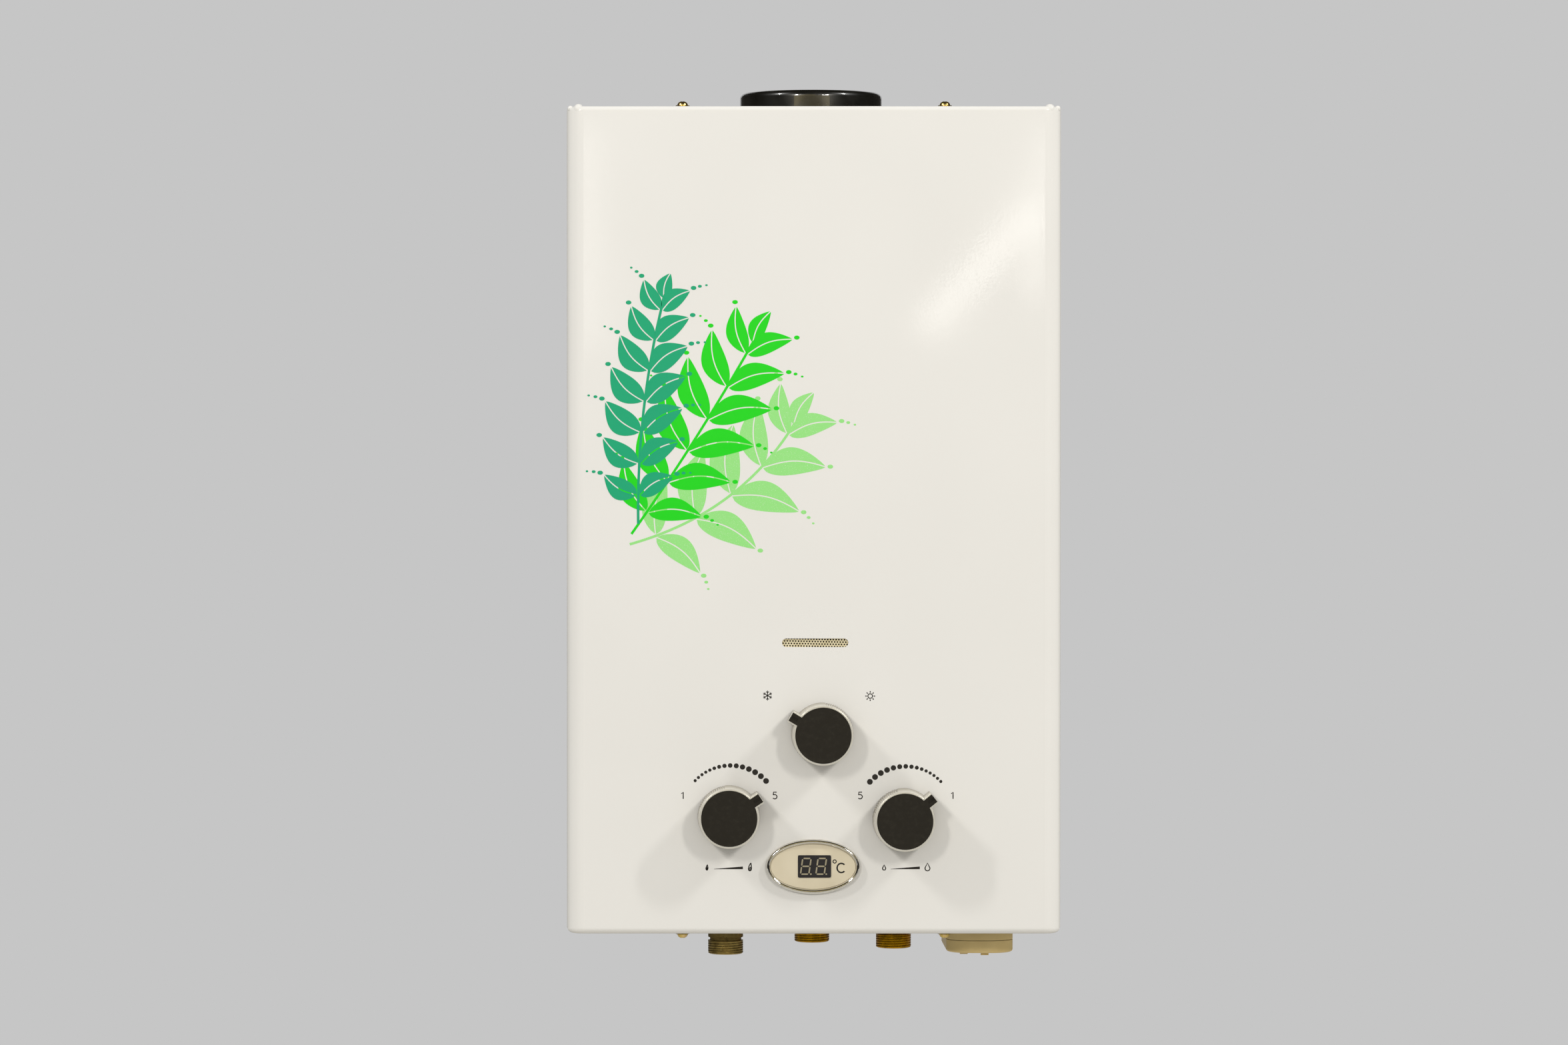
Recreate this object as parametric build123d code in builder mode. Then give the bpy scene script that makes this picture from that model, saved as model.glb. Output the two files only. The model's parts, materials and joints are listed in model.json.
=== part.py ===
from build123d import *
import os
from math import cos, radians, sin, sqrt

os.makedirs("parts", exist_ok=True)

# Wall-hung gas water heater with an open flue and battery ignition, in millimetres.
# X runs right as seen from the front, Y runs into the wall and Z runs up.
# The wall is the plane Y = 0, and Z = 0 is half way up the casing.

# Casing
casing_width = 290.0
casing_height = 485.0
casing_depth = 140.0
sheet = 0.8
side_bend = 10.0
top_bend = 2.5
foot_bend = 3.7
lip_depth = 20.0
side_lip = 8.0
slip_gap = 0.3
ear_inset = 7.0
ear_width = 5.2
ear_rise = 1.4
corner_bump_inset = 2.2
corner_bump_width = 2.4
corner_bump_rise = 0.5
flange_depth = 15.0

# Cover screws
screw_x = 77.0
screw_setback = 12.0
screw_shank_r = 1.9
screw_shank_length = 6.0
screw_head_r = 3.15
screw_head_height = 2.4
screw_flange_r = 4.1
screw_flange_height = 0.9
screw_dome_share = 0.75
screw_recess_width = 0.8
screw_recess_depth = 1.2
screw_gap = 0.2

# Wall fixing
hang_spacing = 120.0
hang_z = 212.0
keyhole_r = 5.0
keyhole_slot_r = 2.75
keyhole_rise = 9.0
lower_hole_z = -218.0
lower_hole_r = 2.75

# Viewing slot and its perforated sheet
slot_x = 0.6
slot_z = -71.7
slot_width = 38.8
slot_height = 5.0
mesh_width = 56.0
mesh_height = 16.0
mesh_sheet = 0.5
mesh_tilt = -1.2
mesh_hole_r = 0.475
mesh_pitch = 1.63
mesh_row_pitch = 1.38
mesh_rows = 4
mesh_columns = 25

# Flue
flue_y = -70.0
flue_r = 42.5
flue_sheet = 1.2
flue_rise = 11.5
flue_roll_r = 3.5
flue_roll_lip = 1.0
flue_flange_r = 48.5
flue_flange_sheet = 1.0
hood_sheet = 0.8
hood_skirt = 22.0
hood_top_width = 94.0
hood_top_depth = 90.0
hood_top_z = 212.0
relief_width = 150.0
relief_height = 12.0
gasket_thickness = 1.5
spigot_gap = 0.6
spigot_reach = 8.0

# Copper chamber and heat exchanger
chamber_width = 196.0
chamber_depth = 94.0
chamber_front = -120.0
chamber_bottom = -80.0
chamber_top = 108.0
chamber_sheet = 1.0
window_width = 46.0
window_height = 8.0
standoff_width = 20.0
standoff_height = 16.0
standoff_sheet = 1.2
standoff_x = 78.0
standoff_levels = (-68.0, 92.0)
exchanger_z = 82.0
exchanger_tube_r = 7.0
exchanger_passes = 5
exchanger_pitch = 18.0
exchanger_bend = 8.9
exchanger_end_x = 110.0
exchanger_stub = 1.5
tube_wall = 1.0
fin_count = 46
fin_pitch = 4.0
fin_sheet = 0.5
fin_height = 36.0
fin_edge_gap = 1.5
braze_gap = 0.1

# Water pipes
pipe_r = 6.0
pipe_gap = 0.3
coil_bend = 15.0
coil_start_z = -45.0
coil_pitch = 25.0
coil_turns = 3
coil_joint_drop = 24.0
riser_bend_low = 8.0
riser_bend_top = 12.0
riser_x = 116.0
hot_drop_x = -118.0
cold_rise_x = 112.0
hot_cross_z = -145.0
nut_across_flats = 22.0
nut_length = 12.0
nut_bore_gap = 0.1

# Burner
burner_count = 10
burner_pitch = 17.0
burner_tube_r = 5.2
burner_bore_r = 4.0
burner_mouth_y = -114.0
burner_blade_front = -110.0
burner_back = -34.0
burner_top = -88.0
burner_blade_width = 5.0
burner_cap_width = 11.0
burner_cap_height = 7.0
burner_port_pitch = 4.0
burner_port_width = 0.8
burner_ports = 18
burner_port_depth = 3.0
burner_port_margin = 1.5
burner_cap_round = 1.5
burner_wall = 1.2
burner_pin_r = 1.5
burner_pin_length = 3.0
frame_sheet = 1.2
frame_bottom = -134.0
frame_front_top = -92.0
frame_gap = 0.3
frame_plate_margin = 3.0
jet_clearance_r = 6.0
jet_across_flats = 7.0
jet_length = 3.0
jet_tip_r = 1.6
jet_tip_length = 0.8
jet_shank_r = 2.0
jet_shank_length = 2.5

# Knobs and their valve spindles
season_x = 4.8
season_z = -125.0
gas_knob_x = -50.0
gas_knob_z = -173.4
water_knob_x = 52.4
water_knob_z = -175.1
season_pointer = 149.5
gas_pointer = 33.5
water_pointer = 39.0
knob_gap = 0.8
knob_height = 19.2
knob_face_r = 17.45
knob_base_r = 18.3
knob_wall = 2.0
knob_web = 3.0
knob_hub_r = 5.5
knob_hub_length = 14.0
cap_r = 16.3
cap_thickness = 1.2
cap_recess = 1.6
cap_gap = 0.05
pointer_reach = 22.0
pointer_width = 5.3
pointer_wall = 0.9
groove_width = 1.6
groove_depth = 0.6
groove_start = 17.0
groove_end_wall = 0.5
shaft_r = 3.0
shaft_flat = 2.2
fit_gap = 0.05
panel_hole_r = 8.0
spool_r = 6.0
season_spool_r = 5.0
spool_end_gap = 0.3

# Gas manifold
manifold_length = 172.0
manifold_depth = 11.0
manifold_height = 11.0
season_boss_r = 9.0
season_boss_length = 6.0
season_bore_depth = 11.0
casting_round = 4.0
moulding_round = 1.5

# Gas valve
valve_y = -75.0
rod_z = -174.0
gas_body_width = 42.0
gas_body_depth = 46.0
gas_body_top = -158.0
gas_body_bottom = -196.0
boss_front = -112.0
spindle_boss_r = 11.0
spool_length = 24.0
gas_bore_r = 9.0
gas_bore_depth = 31.0
gas_seat_r = 6.0
gas_seat_depth = 4.0
seat_gap = 0.3
inlet_boss_r = 14.0
inlet_boss_bottom = -226.0
inlet_bore_depth = 22.0
riser_r = 5.0
riser_flange_r = 11.0
riser_flange_thickness = 3.0
riser_bend = 8.0
riser_start_y = -80.0
riser_level = -144.0
solenoid_r = 13.0
solenoid_length = 29.0
solenoid_spigot = 5.0
solenoid_wall = 3.0
plunger_r = 4.0
plunger_tip_r = 3.0
plunger_tip_length = 4.0
plunger_travel = 2.5
poppet_r = 7.5
poppet_thickness = 4.0
spring_r = 5.5
spring_wire_r = 0.5
spring_coils = 6

# Water valve
water_body_left = 31.0
water_body_width = 36.0
water_body_depth = 34.0
water_body_top = -152.0
water_body_bottom = -200.0
diaphragm_r = 30.0
diaphragm_thickness = 1.5
cavity_r = 22.0
cavity_clearance = 3.0
body_cavity_depth = 3.0
body_flange_thickness = 7.0
cover_wall = 3.5
gland_r = 6.0
gland_length = 7.5
clamp_screw_count = 6
clamp_screw_pcd_r = 26.0
clamp_screw_r = 1.9
clamp_screw_head_r = 3.4
clamp_screw_head_height = 2.6
clamp_screw_end_gap = 1.0
outlet_z = -163.0
outlet_boss_r = 9.0
outlet_boss_length = 9.0
rod_r = 2.0
rod_travel = 3.0
rod_plate_r = 18.0
rod_plate_thickness = 2.2
cam_r = 4.0
cam_left = -3.0
cam_shoulder = 1.3
cam_end = 4.3

# Pipe connections under the casing
gas_inlet_x = -51.0
hot_outlet_x = 1.2
hot_outlet_y = -55.0
cold_inlet_x = 49.4
gas_drop = 17.9
hot_drop = 12.7
cold_drop = 14.2
thread_r = 10.48
thread_length = 8.0
thread_chamfer = 1.0
relief_r = 9.4
relief_length = 1.9
nipple_bore_step = 1.0
nipple_stem_r = 8.5
nipple_stem_length = 19.0
nipple_hex = 26.0
nipple_hex_height = 8.0
nipple_hole_gap = 0.6
hot_stem_top = -222.0

# Switch on the push rod
switch_right_x = 17.2
switch_length = 28.0
switch_width = 10.0
switch_top = -147.0
switch_bottom = -162.0
lever_pivot_x = 15.0
lever_pivot_z = -163.5
lever_width = 5.0
lever_sheet = 0.8
lever_pin_r = 0.6
lever_knuckle_r = 1.1
roller_x = 1.6
roller_r = 1.2
roller_lift = 0.3
switch_ear_thickness = 1.0
switch_ear_gap = 0.5
switch_ear_width = 3.0
lug_thickness = 2.2
lug_width = 14.0
lug_reach = 12.5

# Ignition
controller_x = -111.0
controller_z = -196.0
controller_width = 54.0
controller_height = 72.0
controller_depth = 30.0
controller_lug = 8.0
controller_lug_thickness = 2.0
controller_corner = 3.0
electrode_x = -12.0
electrode_y = -126.2
sensor_x = 20.0
sensor_y = -132.0
ceramic_r = 3.3
ceramic_collar_r = 4.5
ceramic_collar_height = 3.0
ceramic_bottom = -106.0
ceramic_top = -88.0
bracket_z = -98.0
bracket_sheet = 1.2
wire_r = 1.0
wire_level = -83.0
wire_bend = 3.0
wire_tip_y = -108.0
bracket_margin = 10.0
lead_r = 2.0
thin_lead_r = 1.2
lead_level = -112.0
lead_bend = 20.0
lead_end_bend = 5.5
thin_lead_bend = 8.0
thin_lead_end_bend = 5.0
lead_socket_r = 3.2
lead_socket_length = 5.0
ignition_lead_x = -125.0
ignition_lead_z = -180.0
sensor_lead_x = -133.0
sensor_lead_z = -170.0
battery_lead_y = -15.0
battery_lead_z = -195.0
solenoid_lead_x = -110.0
solenoid_lead_z = -205.0
switch_lead_x = -20.0
switch_lead_y = -20.0
switch_lead_z = -180.0
display_lead_x = -104.0
display_lead_y = -118.0
display_lead_z = -208.0
display_lead_end_x = -10.0
temperature_lead_y = -90.0
temperature_lead_drop = 8.0

# Battery holder
battery_x = 99.5
battery_y = -72.0
battery_corner = 14.0
battery_wall = 1.8
battery_seam_drop = 6.9
battery_door_height = 7.2
battery_door_gap = 0.3
battery_rim = 3.0
battery_rim_thickness = 2.0
battery_cut_gap = 0.4
cell_r = 16.6
cell_length = 61.5
cell_nub_r = 4.5
cell_nub_height = 1.5
cell_gap = 0.3
cell_side_gap = 0.9
cell_wall_gap = 1.4
cell_end_gap = 2.1
door_contact_height = 4.2
contact_thickness = 1.0
contact_r = 6.0
leaf_width = 8.0
leaf_sheet = 0.5
hinge_pin_r = 1.0
hinge_knuckle_r = 2.2
hinge_setback = 2.6
hinge_pin_length = 20.0
hinge_door_width = 8.0
hinge_ear_width = 5.0
tab_width = 4.7
tab_thickness = 2.0
tab_drop = 1.6
tab_round = 0.8
tab_places = ((90.2, -97.0), (102.2, -104.0))

# Display
display_x = -0.6
display_z = -202.8
bezel_width = 55.2
bezel_height = 32.3
bezel_inner_width = 49.9
bezel_inner_height = 26.4
bezel_rise = 3.0
bezel_round = 1.2
bezel_skirt_wall = 0.8
bezel_skirt_length = 5.0
bezel_hole_gap = 0.4
plate_thickness = 1.2
plate_rise = 1.0
window_offset_x = 0.8
window_offset_z = 0.1
led_width = 19.4
led_height = 13.2
led_rise = 0.3
led_corner = 1.0
board_width = 44.0
board_height = 22.0
board_thickness = 1.6
board_back_y = -131.0
post_r = 2.0
post_spread = 18.0
sensor_clip_z = -200.0
sensor_clip_r = 7.6
sensor_clip_height = 8.0
sensor_probe_r = 2.5
sensor_probe_length = 9.0
sensor_probe_root = 1.0

# Values that follow from the sizes above
half_width = casing_width / 2
casing_top = casing_height / 2
panel_face = -casing_depth
panel_back = panel_face + sheet
inside_half_width = half_width - sheet
inside_top = casing_top - sheet
chassis_half_width = inside_half_width - slip_gap
panel_front = panel_back + foot_bend
chassis_bend = foot_bend - sheet + slip_gap
floor_top = -inside_top + sheet
chamber_y = chamber_front + chamber_depth / 2
chamber_corner = coil_bend - pipe_r - pipe_gap
chamber_back = chamber_front + chamber_depth
nipple_bore_r = pipe_r + nipple_bore_step
screw_y = panel_face + screw_setback
burner_width = (burner_count - 1) * burner_pitch
burner_places = [burner_pitch * i - burner_width / 2 for i in range(burner_count)]
manifold_back = chamber_front
manifold_front = manifold_back - manifold_depth
season_boss_front = manifold_front - season_boss_length
gas_body_x = gas_knob_x
gas_body_left = gas_body_x - gas_body_width / 2
gas_body_right = gas_body_x + gas_body_width / 2
seat_x = gas_body_left + gas_bore_depth
cavity_depth = rod_plate_thickness + pipe_gap + rod_travel + cavity_clearance
cover_thickness = cover_wall + cavity_depth
cover_right_x = water_body_left - diaphragm_thickness
cover_left_x = cover_right_x - cover_thickness
battery_box_width = 2 * (cell_r + cell_wall_gap + battery_wall)
battery_box_depth = 2 * (2 * cell_r + cell_side_gap + cell_end_gap + battery_wall)
battery_back = battery_y + battery_box_depth / 2
battery_seam = -casing_top - battery_seam_drop
battery_door_top = battery_seam - battery_door_gap
battery_door_bottom = battery_door_top - battery_door_height
cell_bottom = battery_door_bottom + battery_wall + door_contact_height
cell_top = cell_bottom + cell_length
battery_ceiling = cell_top + cell_gap + contact_thickness
battery_box_top = battery_ceiling + battery_wall


def facing_front(y):
    """Plane at depth y: local x is right, local y is up, and it extrudes towards the viewer."""
    return Plane.XZ.offset(-y)


def facing_right(x):
    """Plane at x: local x goes to the wall, local y is up, and it extrudes to the right."""
    return Plane.YZ.offset(x)


def facing_up(z):
    """Plane at height z, which extrudes upwards."""
    return Plane.XY.offset(z)


def casing_plan(inset, back):
    """Plan of the casing moved in by inset, rounded at its two front corners."""
    front = panel_face + inset
    with BuildSketch(mode=Mode.PRIVATE) as plan:
        with Locations((0, (front + back) / 2)):
            Rectangle(2 * (half_width - inset), back - front)
        fillet(plan.vertices().group_by(Axis.Y)[0], radius=side_bend - inset)
    return plan.sketch


def bend_front(inset):
    """Depth of the casing's front at a distance inset from its side."""
    return panel_face + side_bend - sqrt(side_bend**2 - (side_bend - inset) ** 2)


def end_edges(edges, end):
    """Edges round the front and sides at the top, for end -1, or at the bottom, for end 0."""
    return edges.group_by(Axis.Z)[end].sort_by(Axis.Y)[:-1]


def chamber_plan(inset):
    """Plan of the copper chamber moved in by inset."""
    with BuildSketch(mode=Mode.PRIVATE) as plan:
        with Locations((0, chamber_y)):
            RectangleRounded(
                chamber_width - 2 * inset, chamber_depth - 2 * inset, chamber_corner - inset
            )
    return plan.sketch


def battery_plan(grow):
    """Plan of the battery holder grown by grow on every side."""
    with BuildSketch(mode=Mode.PRIVATE) as plan:
        with Locations((battery_x, battery_y)):
            RectangleRounded(
                battery_box_width + 2 * grow, battery_box_depth + 2 * grow, battery_corner + grow
            )
    return plan.sketch


# Sheet metal chassis: back plate, top and bottom panels, side flanges and four stand-offs, with the
# corners between the panels and the flanges left open
with BuildPart() as chassis:
    with BuildSketch(facing_front(0)):
        RectangleRounded(2 * chassis_half_width, 2 * inside_top, chassis_bend)
    extrude(amount=sheet)
    for side in (-1, 1):
        with Locations((side * (chassis_half_width - sheet / 2), -flange_depth / 2, 0)):
            Box(sheet, flange_depth, 2 * (inside_top - chassis_bend))
    for level in (-inside_top, inside_top - sheet):
        with BuildSketch(facing_up(level)) as panel:
            with Locations((0, panel_front / 2)):
                Rectangle(2 * (chassis_half_width - chassis_bend), -panel_front)
            fillet(panel.vertices().group_by(Axis.Y)[0], radius=side_bend)
        extrude(amount=sheet)
    for level in standoff_levels:
        with BuildSketch(facing_up(level - standoff_height / 2)):
            with Locations(*[(side * standoff_x, chamber_back / 2) for side in (-1, 1)]):
                Rectangle(standoff_width, -chamber_back)
            with Locations(
                *[(side * standoff_x, (chamber_back + standoff_sheet) / 2) for side in (-1, 1)]
            ):
                Rectangle(
                    standoff_width - 2 * standoff_sheet,
                    -chamber_back - standoff_sheet,
                    mode=Mode.SUBTRACT,
                )
        extrude(amount=standoff_height)
    with BuildSketch(facing_front(0)):
        with GridLocations(hang_spacing, 1, 2, 1):
            with Locations((0, hang_z)):
                Circle(keyhole_r)
            with Locations((0, hang_z + keyhole_rise / 2)):
                SlotCenterToCenter(keyhole_rise, 2 * keyhole_slot_r, rotation=90)
            with Locations((0, lower_hole_z)):
                Circle(lower_hole_r)
    extrude(amount=sheet, mode=Mode.SUBTRACT)
    with BuildSketch(facing_up(inside_top - sheet)):
        with Locations((0, flue_y)):
            Circle(flue_r - flue_sheet)
    extrude(amount=sheet, mode=Mode.SUBTRACT)
    with BuildSketch(facing_up(-inside_top)):
        with Locations((gas_inlet_x, valve_y), (cold_inlet_x, valve_y)):
            Circle(thread_r + nipple_hole_gap)
        with Locations((hot_outlet_x, hot_outlet_y)):
            Circle(thread_r + nipple_hole_gap)
        add(battery_plan(battery_cut_gap))
    extrude(amount=sheet, mode=Mode.SUBTRACT)
    for level in (-inside_top, inside_top - sheet):
        with BuildSketch(facing_up(level)):
            with Locations((-screw_x, screw_y), (screw_x, screw_y)):
                Circle(screw_shank_r + fit_gap)
        extrude(amount=sheet, mode=Mode.SUBTRACT)
chassis.part.label = "chassis"
export_step(chassis.part, "parts/chassis.step")

# Hollow of the front cover, open at the wall
with BuildPart() as cover_hollow:
    with BuildSketch(facing_up(-inside_top)):
        add(casing_plan(sheet, sheet))
    extrude(amount=2 * inside_top)
    fillet(end_edges(cover_hollow.edges(), 0), radius=foot_bend - sheet)
    fillet(end_edges(cover_hollow.edges(), -1), radius=top_bend - sheet)

# Front cover: face, sides and lips drawn from one sheet, with two small ears on each top corner
with BuildPart() as front_cover:
    with BuildSketch(facing_up(-casing_top)):
        add(casing_plan(0, 0))
    extrude(amount=casing_height)
    fillet(end_edges(front_cover.edges(), 0), radius=foot_bend)
    fillet(end_edges(front_cover.edges(), -1), radius=top_bend)
    for inset, width, rise in (
        (ear_inset, ear_width, ear_rise),
        (corner_bump_inset, corner_bump_width, corner_bump_rise),
    ):
        ear_r = ((width / 2) ** 2 + rise**2) / (2 * rise)
        ear_y = bend_front(inset) + ear_r
        with Locations(
            *[(side * (half_width - inset), ear_y, casing_top + rise - ear_r) for side in (-1, 1)]
        ):
            Sphere(ear_r)
    add(cover_hollow.part, mode=Mode.SUBTRACT)
    with BuildSketch(facing_up(-casing_top)):
        with Locations((0, (panel_face + lip_depth) / 2)):
            Rectangle(2 * (half_width - side_lip), -panel_face - lip_depth)
    extrude(amount=casing_height, mode=Mode.SUBTRACT)
    with BuildSketch(facing_front(panel_back)):
        with Locations(
            (season_x, season_z), (gas_knob_x, gas_knob_z), (water_knob_x, water_knob_z)
        ):
            Circle(panel_hole_r)
        with Locations((slot_x, slot_z)):
            SlotOverall(slot_width, slot_height)
        with Locations((display_x, display_z)):
            Ellipse(
                bezel_inner_width / 2 + bezel_skirt_wall + bezel_hole_gap,
                bezel_inner_height / 2 + bezel_skirt_wall + bezel_hole_gap,
            )
    extrude(amount=sheet, mode=Mode.SUBTRACT)
    for end in (-1, 1):
        with Locations(
            *[(side * screw_x, screw_y, end * (casing_top - sheet / 2)) for side in (-1, 1)]
        ):
            Cylinder(screw_shank_r + screw_gap, sheet, mode=Mode.SUBTRACT)
front_cover.part.label = "front_cover"
export_step(front_cover.part, "parts/front_cover.step")

# Four pan-head screws, two down into the top panel and two up into the bottom panel
with BuildPart() as cover_screws:
    for end in (-1, 1):
        flange_z = end * casing_top
        for side in (-1, 1):
            with BuildSketch(facing_front(screw_y)):
                axis_x = side * screw_x
                with BuildLine():
                    Polyline(
                        (axis_x, flange_z - end * screw_shank_length),
                        (axis_x + screw_shank_r, flange_z - end * screw_shank_length),
                        (axis_x + screw_shank_r, flange_z),
                        (axis_x + screw_flange_r, flange_z),
                        (axis_x + screw_flange_r, flange_z + end * screw_flange_height),
                        (axis_x + screw_head_r, flange_z + end * screw_flange_height),
                    )
                    ThreePointArc(
                        (axis_x + screw_head_r, flange_z + end * screw_flange_height),
                        (
                            axis_x + screw_head_r * screw_dome_share,
                            flange_z + end * (screw_flange_height + screw_head_height * screw_dome_share),
                        ),
                        (axis_x, flange_z + end * (screw_flange_height + screw_head_height)),
                    )
                    Line(
                        (axis_x, flange_z + end * (screw_flange_height + screw_head_height)),
                        (axis_x, flange_z - end * screw_shank_length),
                    )
                make_face()
            revolve(axis=Axis((axis_x, screw_y, 0), (0, 0, 1)))
            head_top = flange_z + end * (screw_flange_height + screw_head_height)
            with Locations((axis_x, screw_y, head_top)):
                Box(screw_head_r, screw_recess_width, 2 * screw_recess_depth, mode=Mode.SUBTRACT)
                Box(screw_recess_width, screw_head_r, 2 * screw_recess_depth, mode=Mode.SUBTRACT)
cover_screws.part.label = "cover_screws"
export_step(cover_screws.part, "parts/cover_screws.step")

# Perforated sheet spot-welded behind the viewing slot
with BuildPart() as viewing_mesh:
    with BuildSketch(facing_front(panel_back + mesh_sheet)):
        with Locations(Location((slot_x, slot_z), mesh_tilt)):
            RectangleRounded(mesh_width, mesh_height, 2)
            hole_places = [
                (
                    mesh_pitch * (column - (mesh_columns - 1) / 2 + 0.5 * (row % 2)),
                    mesh_row_pitch * (row - (mesh_rows - 1) / 2),
                )
                for row in range(mesh_rows)
                for column in range(mesh_columns)
            ]
            with Locations(*hole_places):
                Circle(mesh_hole_r, mode=Mode.SUBTRACT)
    extrude(amount=mesh_sheet)
viewing_mesh.part.label = "viewing_mesh"
export_step(viewing_mesh.part, "parts/viewing_mesh.step")

# Flue collar: a spun ring whose top edge is rolled inwards
with BuildPart() as flue_collar:
    collar_top = casing_top + flue_rise
    roll_start = collar_top - flue_roll_r
    roll_x = flue_r - flue_roll_r
    collar_bore_r = flue_r - flue_sheet
    with BuildSketch(facing_front(flue_y)):
        with BuildLine():
            Polyline(
                (collar_bore_r, inside_top),
                (flue_flange_r, inside_top),
                (flue_flange_r, inside_top + flue_flange_sheet),
                (flue_r, inside_top + flue_flange_sheet),
                (flue_r, roll_start),
            )
            RadiusArc((flue_r, roll_start), (roll_x, collar_top), -flue_roll_r)
            Polyline(
                (roll_x, collar_top),
                (roll_x - flue_roll_lip, collar_top),
                (roll_x - flue_roll_lip, collar_top - flue_sheet),
                (roll_x, collar_top - flue_sheet),
            )
            RadiusArc(
                (roll_x, collar_top - flue_sheet),
                (collar_bore_r, roll_start),
                flue_roll_r - flue_sheet,
            )
            Line((collar_bore_r, roll_start), (collar_bore_r, inside_top))
        make_face()
    revolve(axis=Axis((0, flue_y, 0), (0, 0, 1)))
flue_collar.part.label = "flue_collar"
export_step(flue_collar.part, "parts/flue_collar.step")

# Draft hood: skirt with relief slots, pyramid, top plate and the spigot inside the collar
spigot_r = flue_r - flue_sheet - spigot_gap
seal_z = inside_top - sheet - gasket_thickness
with BuildPart() as draft_hood:
    shoulder_z = chamber_top + hood_skirt
    for inset, mode in ((0, Mode.ADD), (hood_sheet, Mode.SUBTRACT)):
        with BuildSketch(facing_up(chamber_top)):
            add(chamber_plan(inset))
        extrude(amount=hood_skirt, mode=mode)
        with BuildSketch(facing_up(shoulder_z)):
            add(chamber_plan(inset))
        with BuildSketch(facing_up(hood_top_z)):
            with Locations((0, flue_y)):
                RectangleRounded(
                    hood_top_width - 2 * inset, hood_top_depth - 2 * inset, chamber_corner - inset
                )
        loft(ruled=True, mode=mode)
    with BuildSketch(facing_up(hood_top_z)):
        with Locations((0, flue_y)):
            RectangleRounded(hood_top_width, hood_top_depth, chamber_corner)
    extrude(amount=hood_sheet)
    with BuildSketch(facing_up(hood_top_z)):
        with Locations((0, flue_y)):
            Circle(spigot_r)
    extrude(amount=casing_top + spigot_reach - hood_top_z)
    with BuildSketch(facing_up(seal_z - hood_sheet)):
        with Locations((0, flue_y)):
            Circle(flue_flange_r)
    extrude(amount=hood_sheet)
    with BuildSketch(facing_up(hood_top_z)):
        with Locations((0, flue_y)):
            Circle(spigot_r - hood_sheet)
    extrude(amount=casing_top + spigot_reach - hood_top_z, mode=Mode.SUBTRACT)
    with BuildSketch(facing_front(0)):
        with Locations((0, chamber_top + hood_skirt / 2)):
            SlotOverall(relief_width, relief_height)
    extrude(amount=casing_depth, mode=Mode.SUBTRACT)
draft_hood.part.label = "draft_hood"
export_step(draft_hood.part, "parts/draft_hood.step")

# Fibre ring between the hood and the top panel
with BuildPart() as flue_gasket:
    with BuildSketch(facing_up(seal_z)):
        with Locations((0, flue_y)):
            Circle(flue_flange_r)
            Circle(flue_r - flue_sheet, mode=Mode.SUBTRACT)
    extrude(amount=gasket_thickness)
flue_gasket.part.label = "flue_gasket"
export_step(flue_gasket.part, "parts/flue_gasket.step")

# Copper shell round the flame and the fins
exchanger_rows = [
    chamber_y + exchanger_pitch * (i - (exchanger_passes - 1) / 2) for i in range(exchanger_passes)
]
with BuildPart() as chamber_shell:
    with BuildSketch(facing_up(chamber_bottom)):
        add(chamber_plan(0))
        add(chamber_plan(chamber_sheet), mode=Mode.SUBTRACT)
    extrude(amount=chamber_top - chamber_bottom)
    with BuildSketch(facing_right(-chamber_width / 2)):
        with Locations(*[(y, exchanger_z) for y in exchanger_rows]):
            Circle(exchanger_tube_r + braze_gap)
    extrude(amount=chamber_width, mode=Mode.SUBTRACT)
    with BuildSketch(facing_front(chamber_front + chamber_sheet)):
        with Locations((slot_x, slot_z)):
            Rectangle(window_width, window_height)
    extrude(amount=chamber_sheet, mode=Mode.SUBTRACT)
chamber_shell.part.label = "chamber_shell"
export_step(chamber_shell.part, "parts/chamber_shell.step")

# Thin copper fins brazed on the exchanger tubes
fin_span = (fin_count - 1) * fin_pitch
with BuildPart() as exchanger_fins:
    fin_planes = [facing_right(fin_pitch * i - fin_span / 2) for i in range(fin_count)]
    with BuildSketch(*fin_planes):
        with Locations((chamber_y, exchanger_z)):
            Rectangle(chamber_depth - 2 * (chamber_sheet + fin_edge_gap), fin_height)
        with Locations(*[(y, exchanger_z) for y in exchanger_rows]):
            Circle(exchanger_tube_r + braze_gap, mode=Mode.SUBTRACT)
    extrude(amount=fin_sheet)
exchanger_fins.part.label = "exchanger_fins"
export_step(exchanger_fins.part, "parts/exchanger_fins.step")

# One tube folded into parallel passes through the fins
shell_side = chamber_width / 2 + exchanger_stub
serpentine = [(shell_side, exchanger_rows[0], exchanger_z)]
for i in range(exchanger_passes - 1):
    turn_x = exchanger_end_x * (-1 if i % 2 == 0 else 1)
    serpentine.append((turn_x, exchanger_rows[i], exchanger_z))
    serpentine.append((turn_x, exchanger_rows[i + 1], exchanger_z))
serpentine.append((-shell_side, exchanger_rows[-1], exchanger_z))
with BuildPart() as exchanger_tubes:
    with BuildLine() as tube_path:
        FilletPolyline(*serpentine, radius=exchanger_bend)
    with BuildSketch(facing_right(shell_side)):
        with Locations((exchanger_rows[0], exchanger_z)):
            Circle(exchanger_tube_r)
            Circle(exchanger_tube_r - tube_wall, mode=Mode.SUBTRACT)
    sweep(path=tube_path.wires()[0])
exchanger_tubes.part.label = "exchanger_tubes"
export_step(exchanger_tubes.part, "parts/exchanger_tubes.step")

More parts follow.
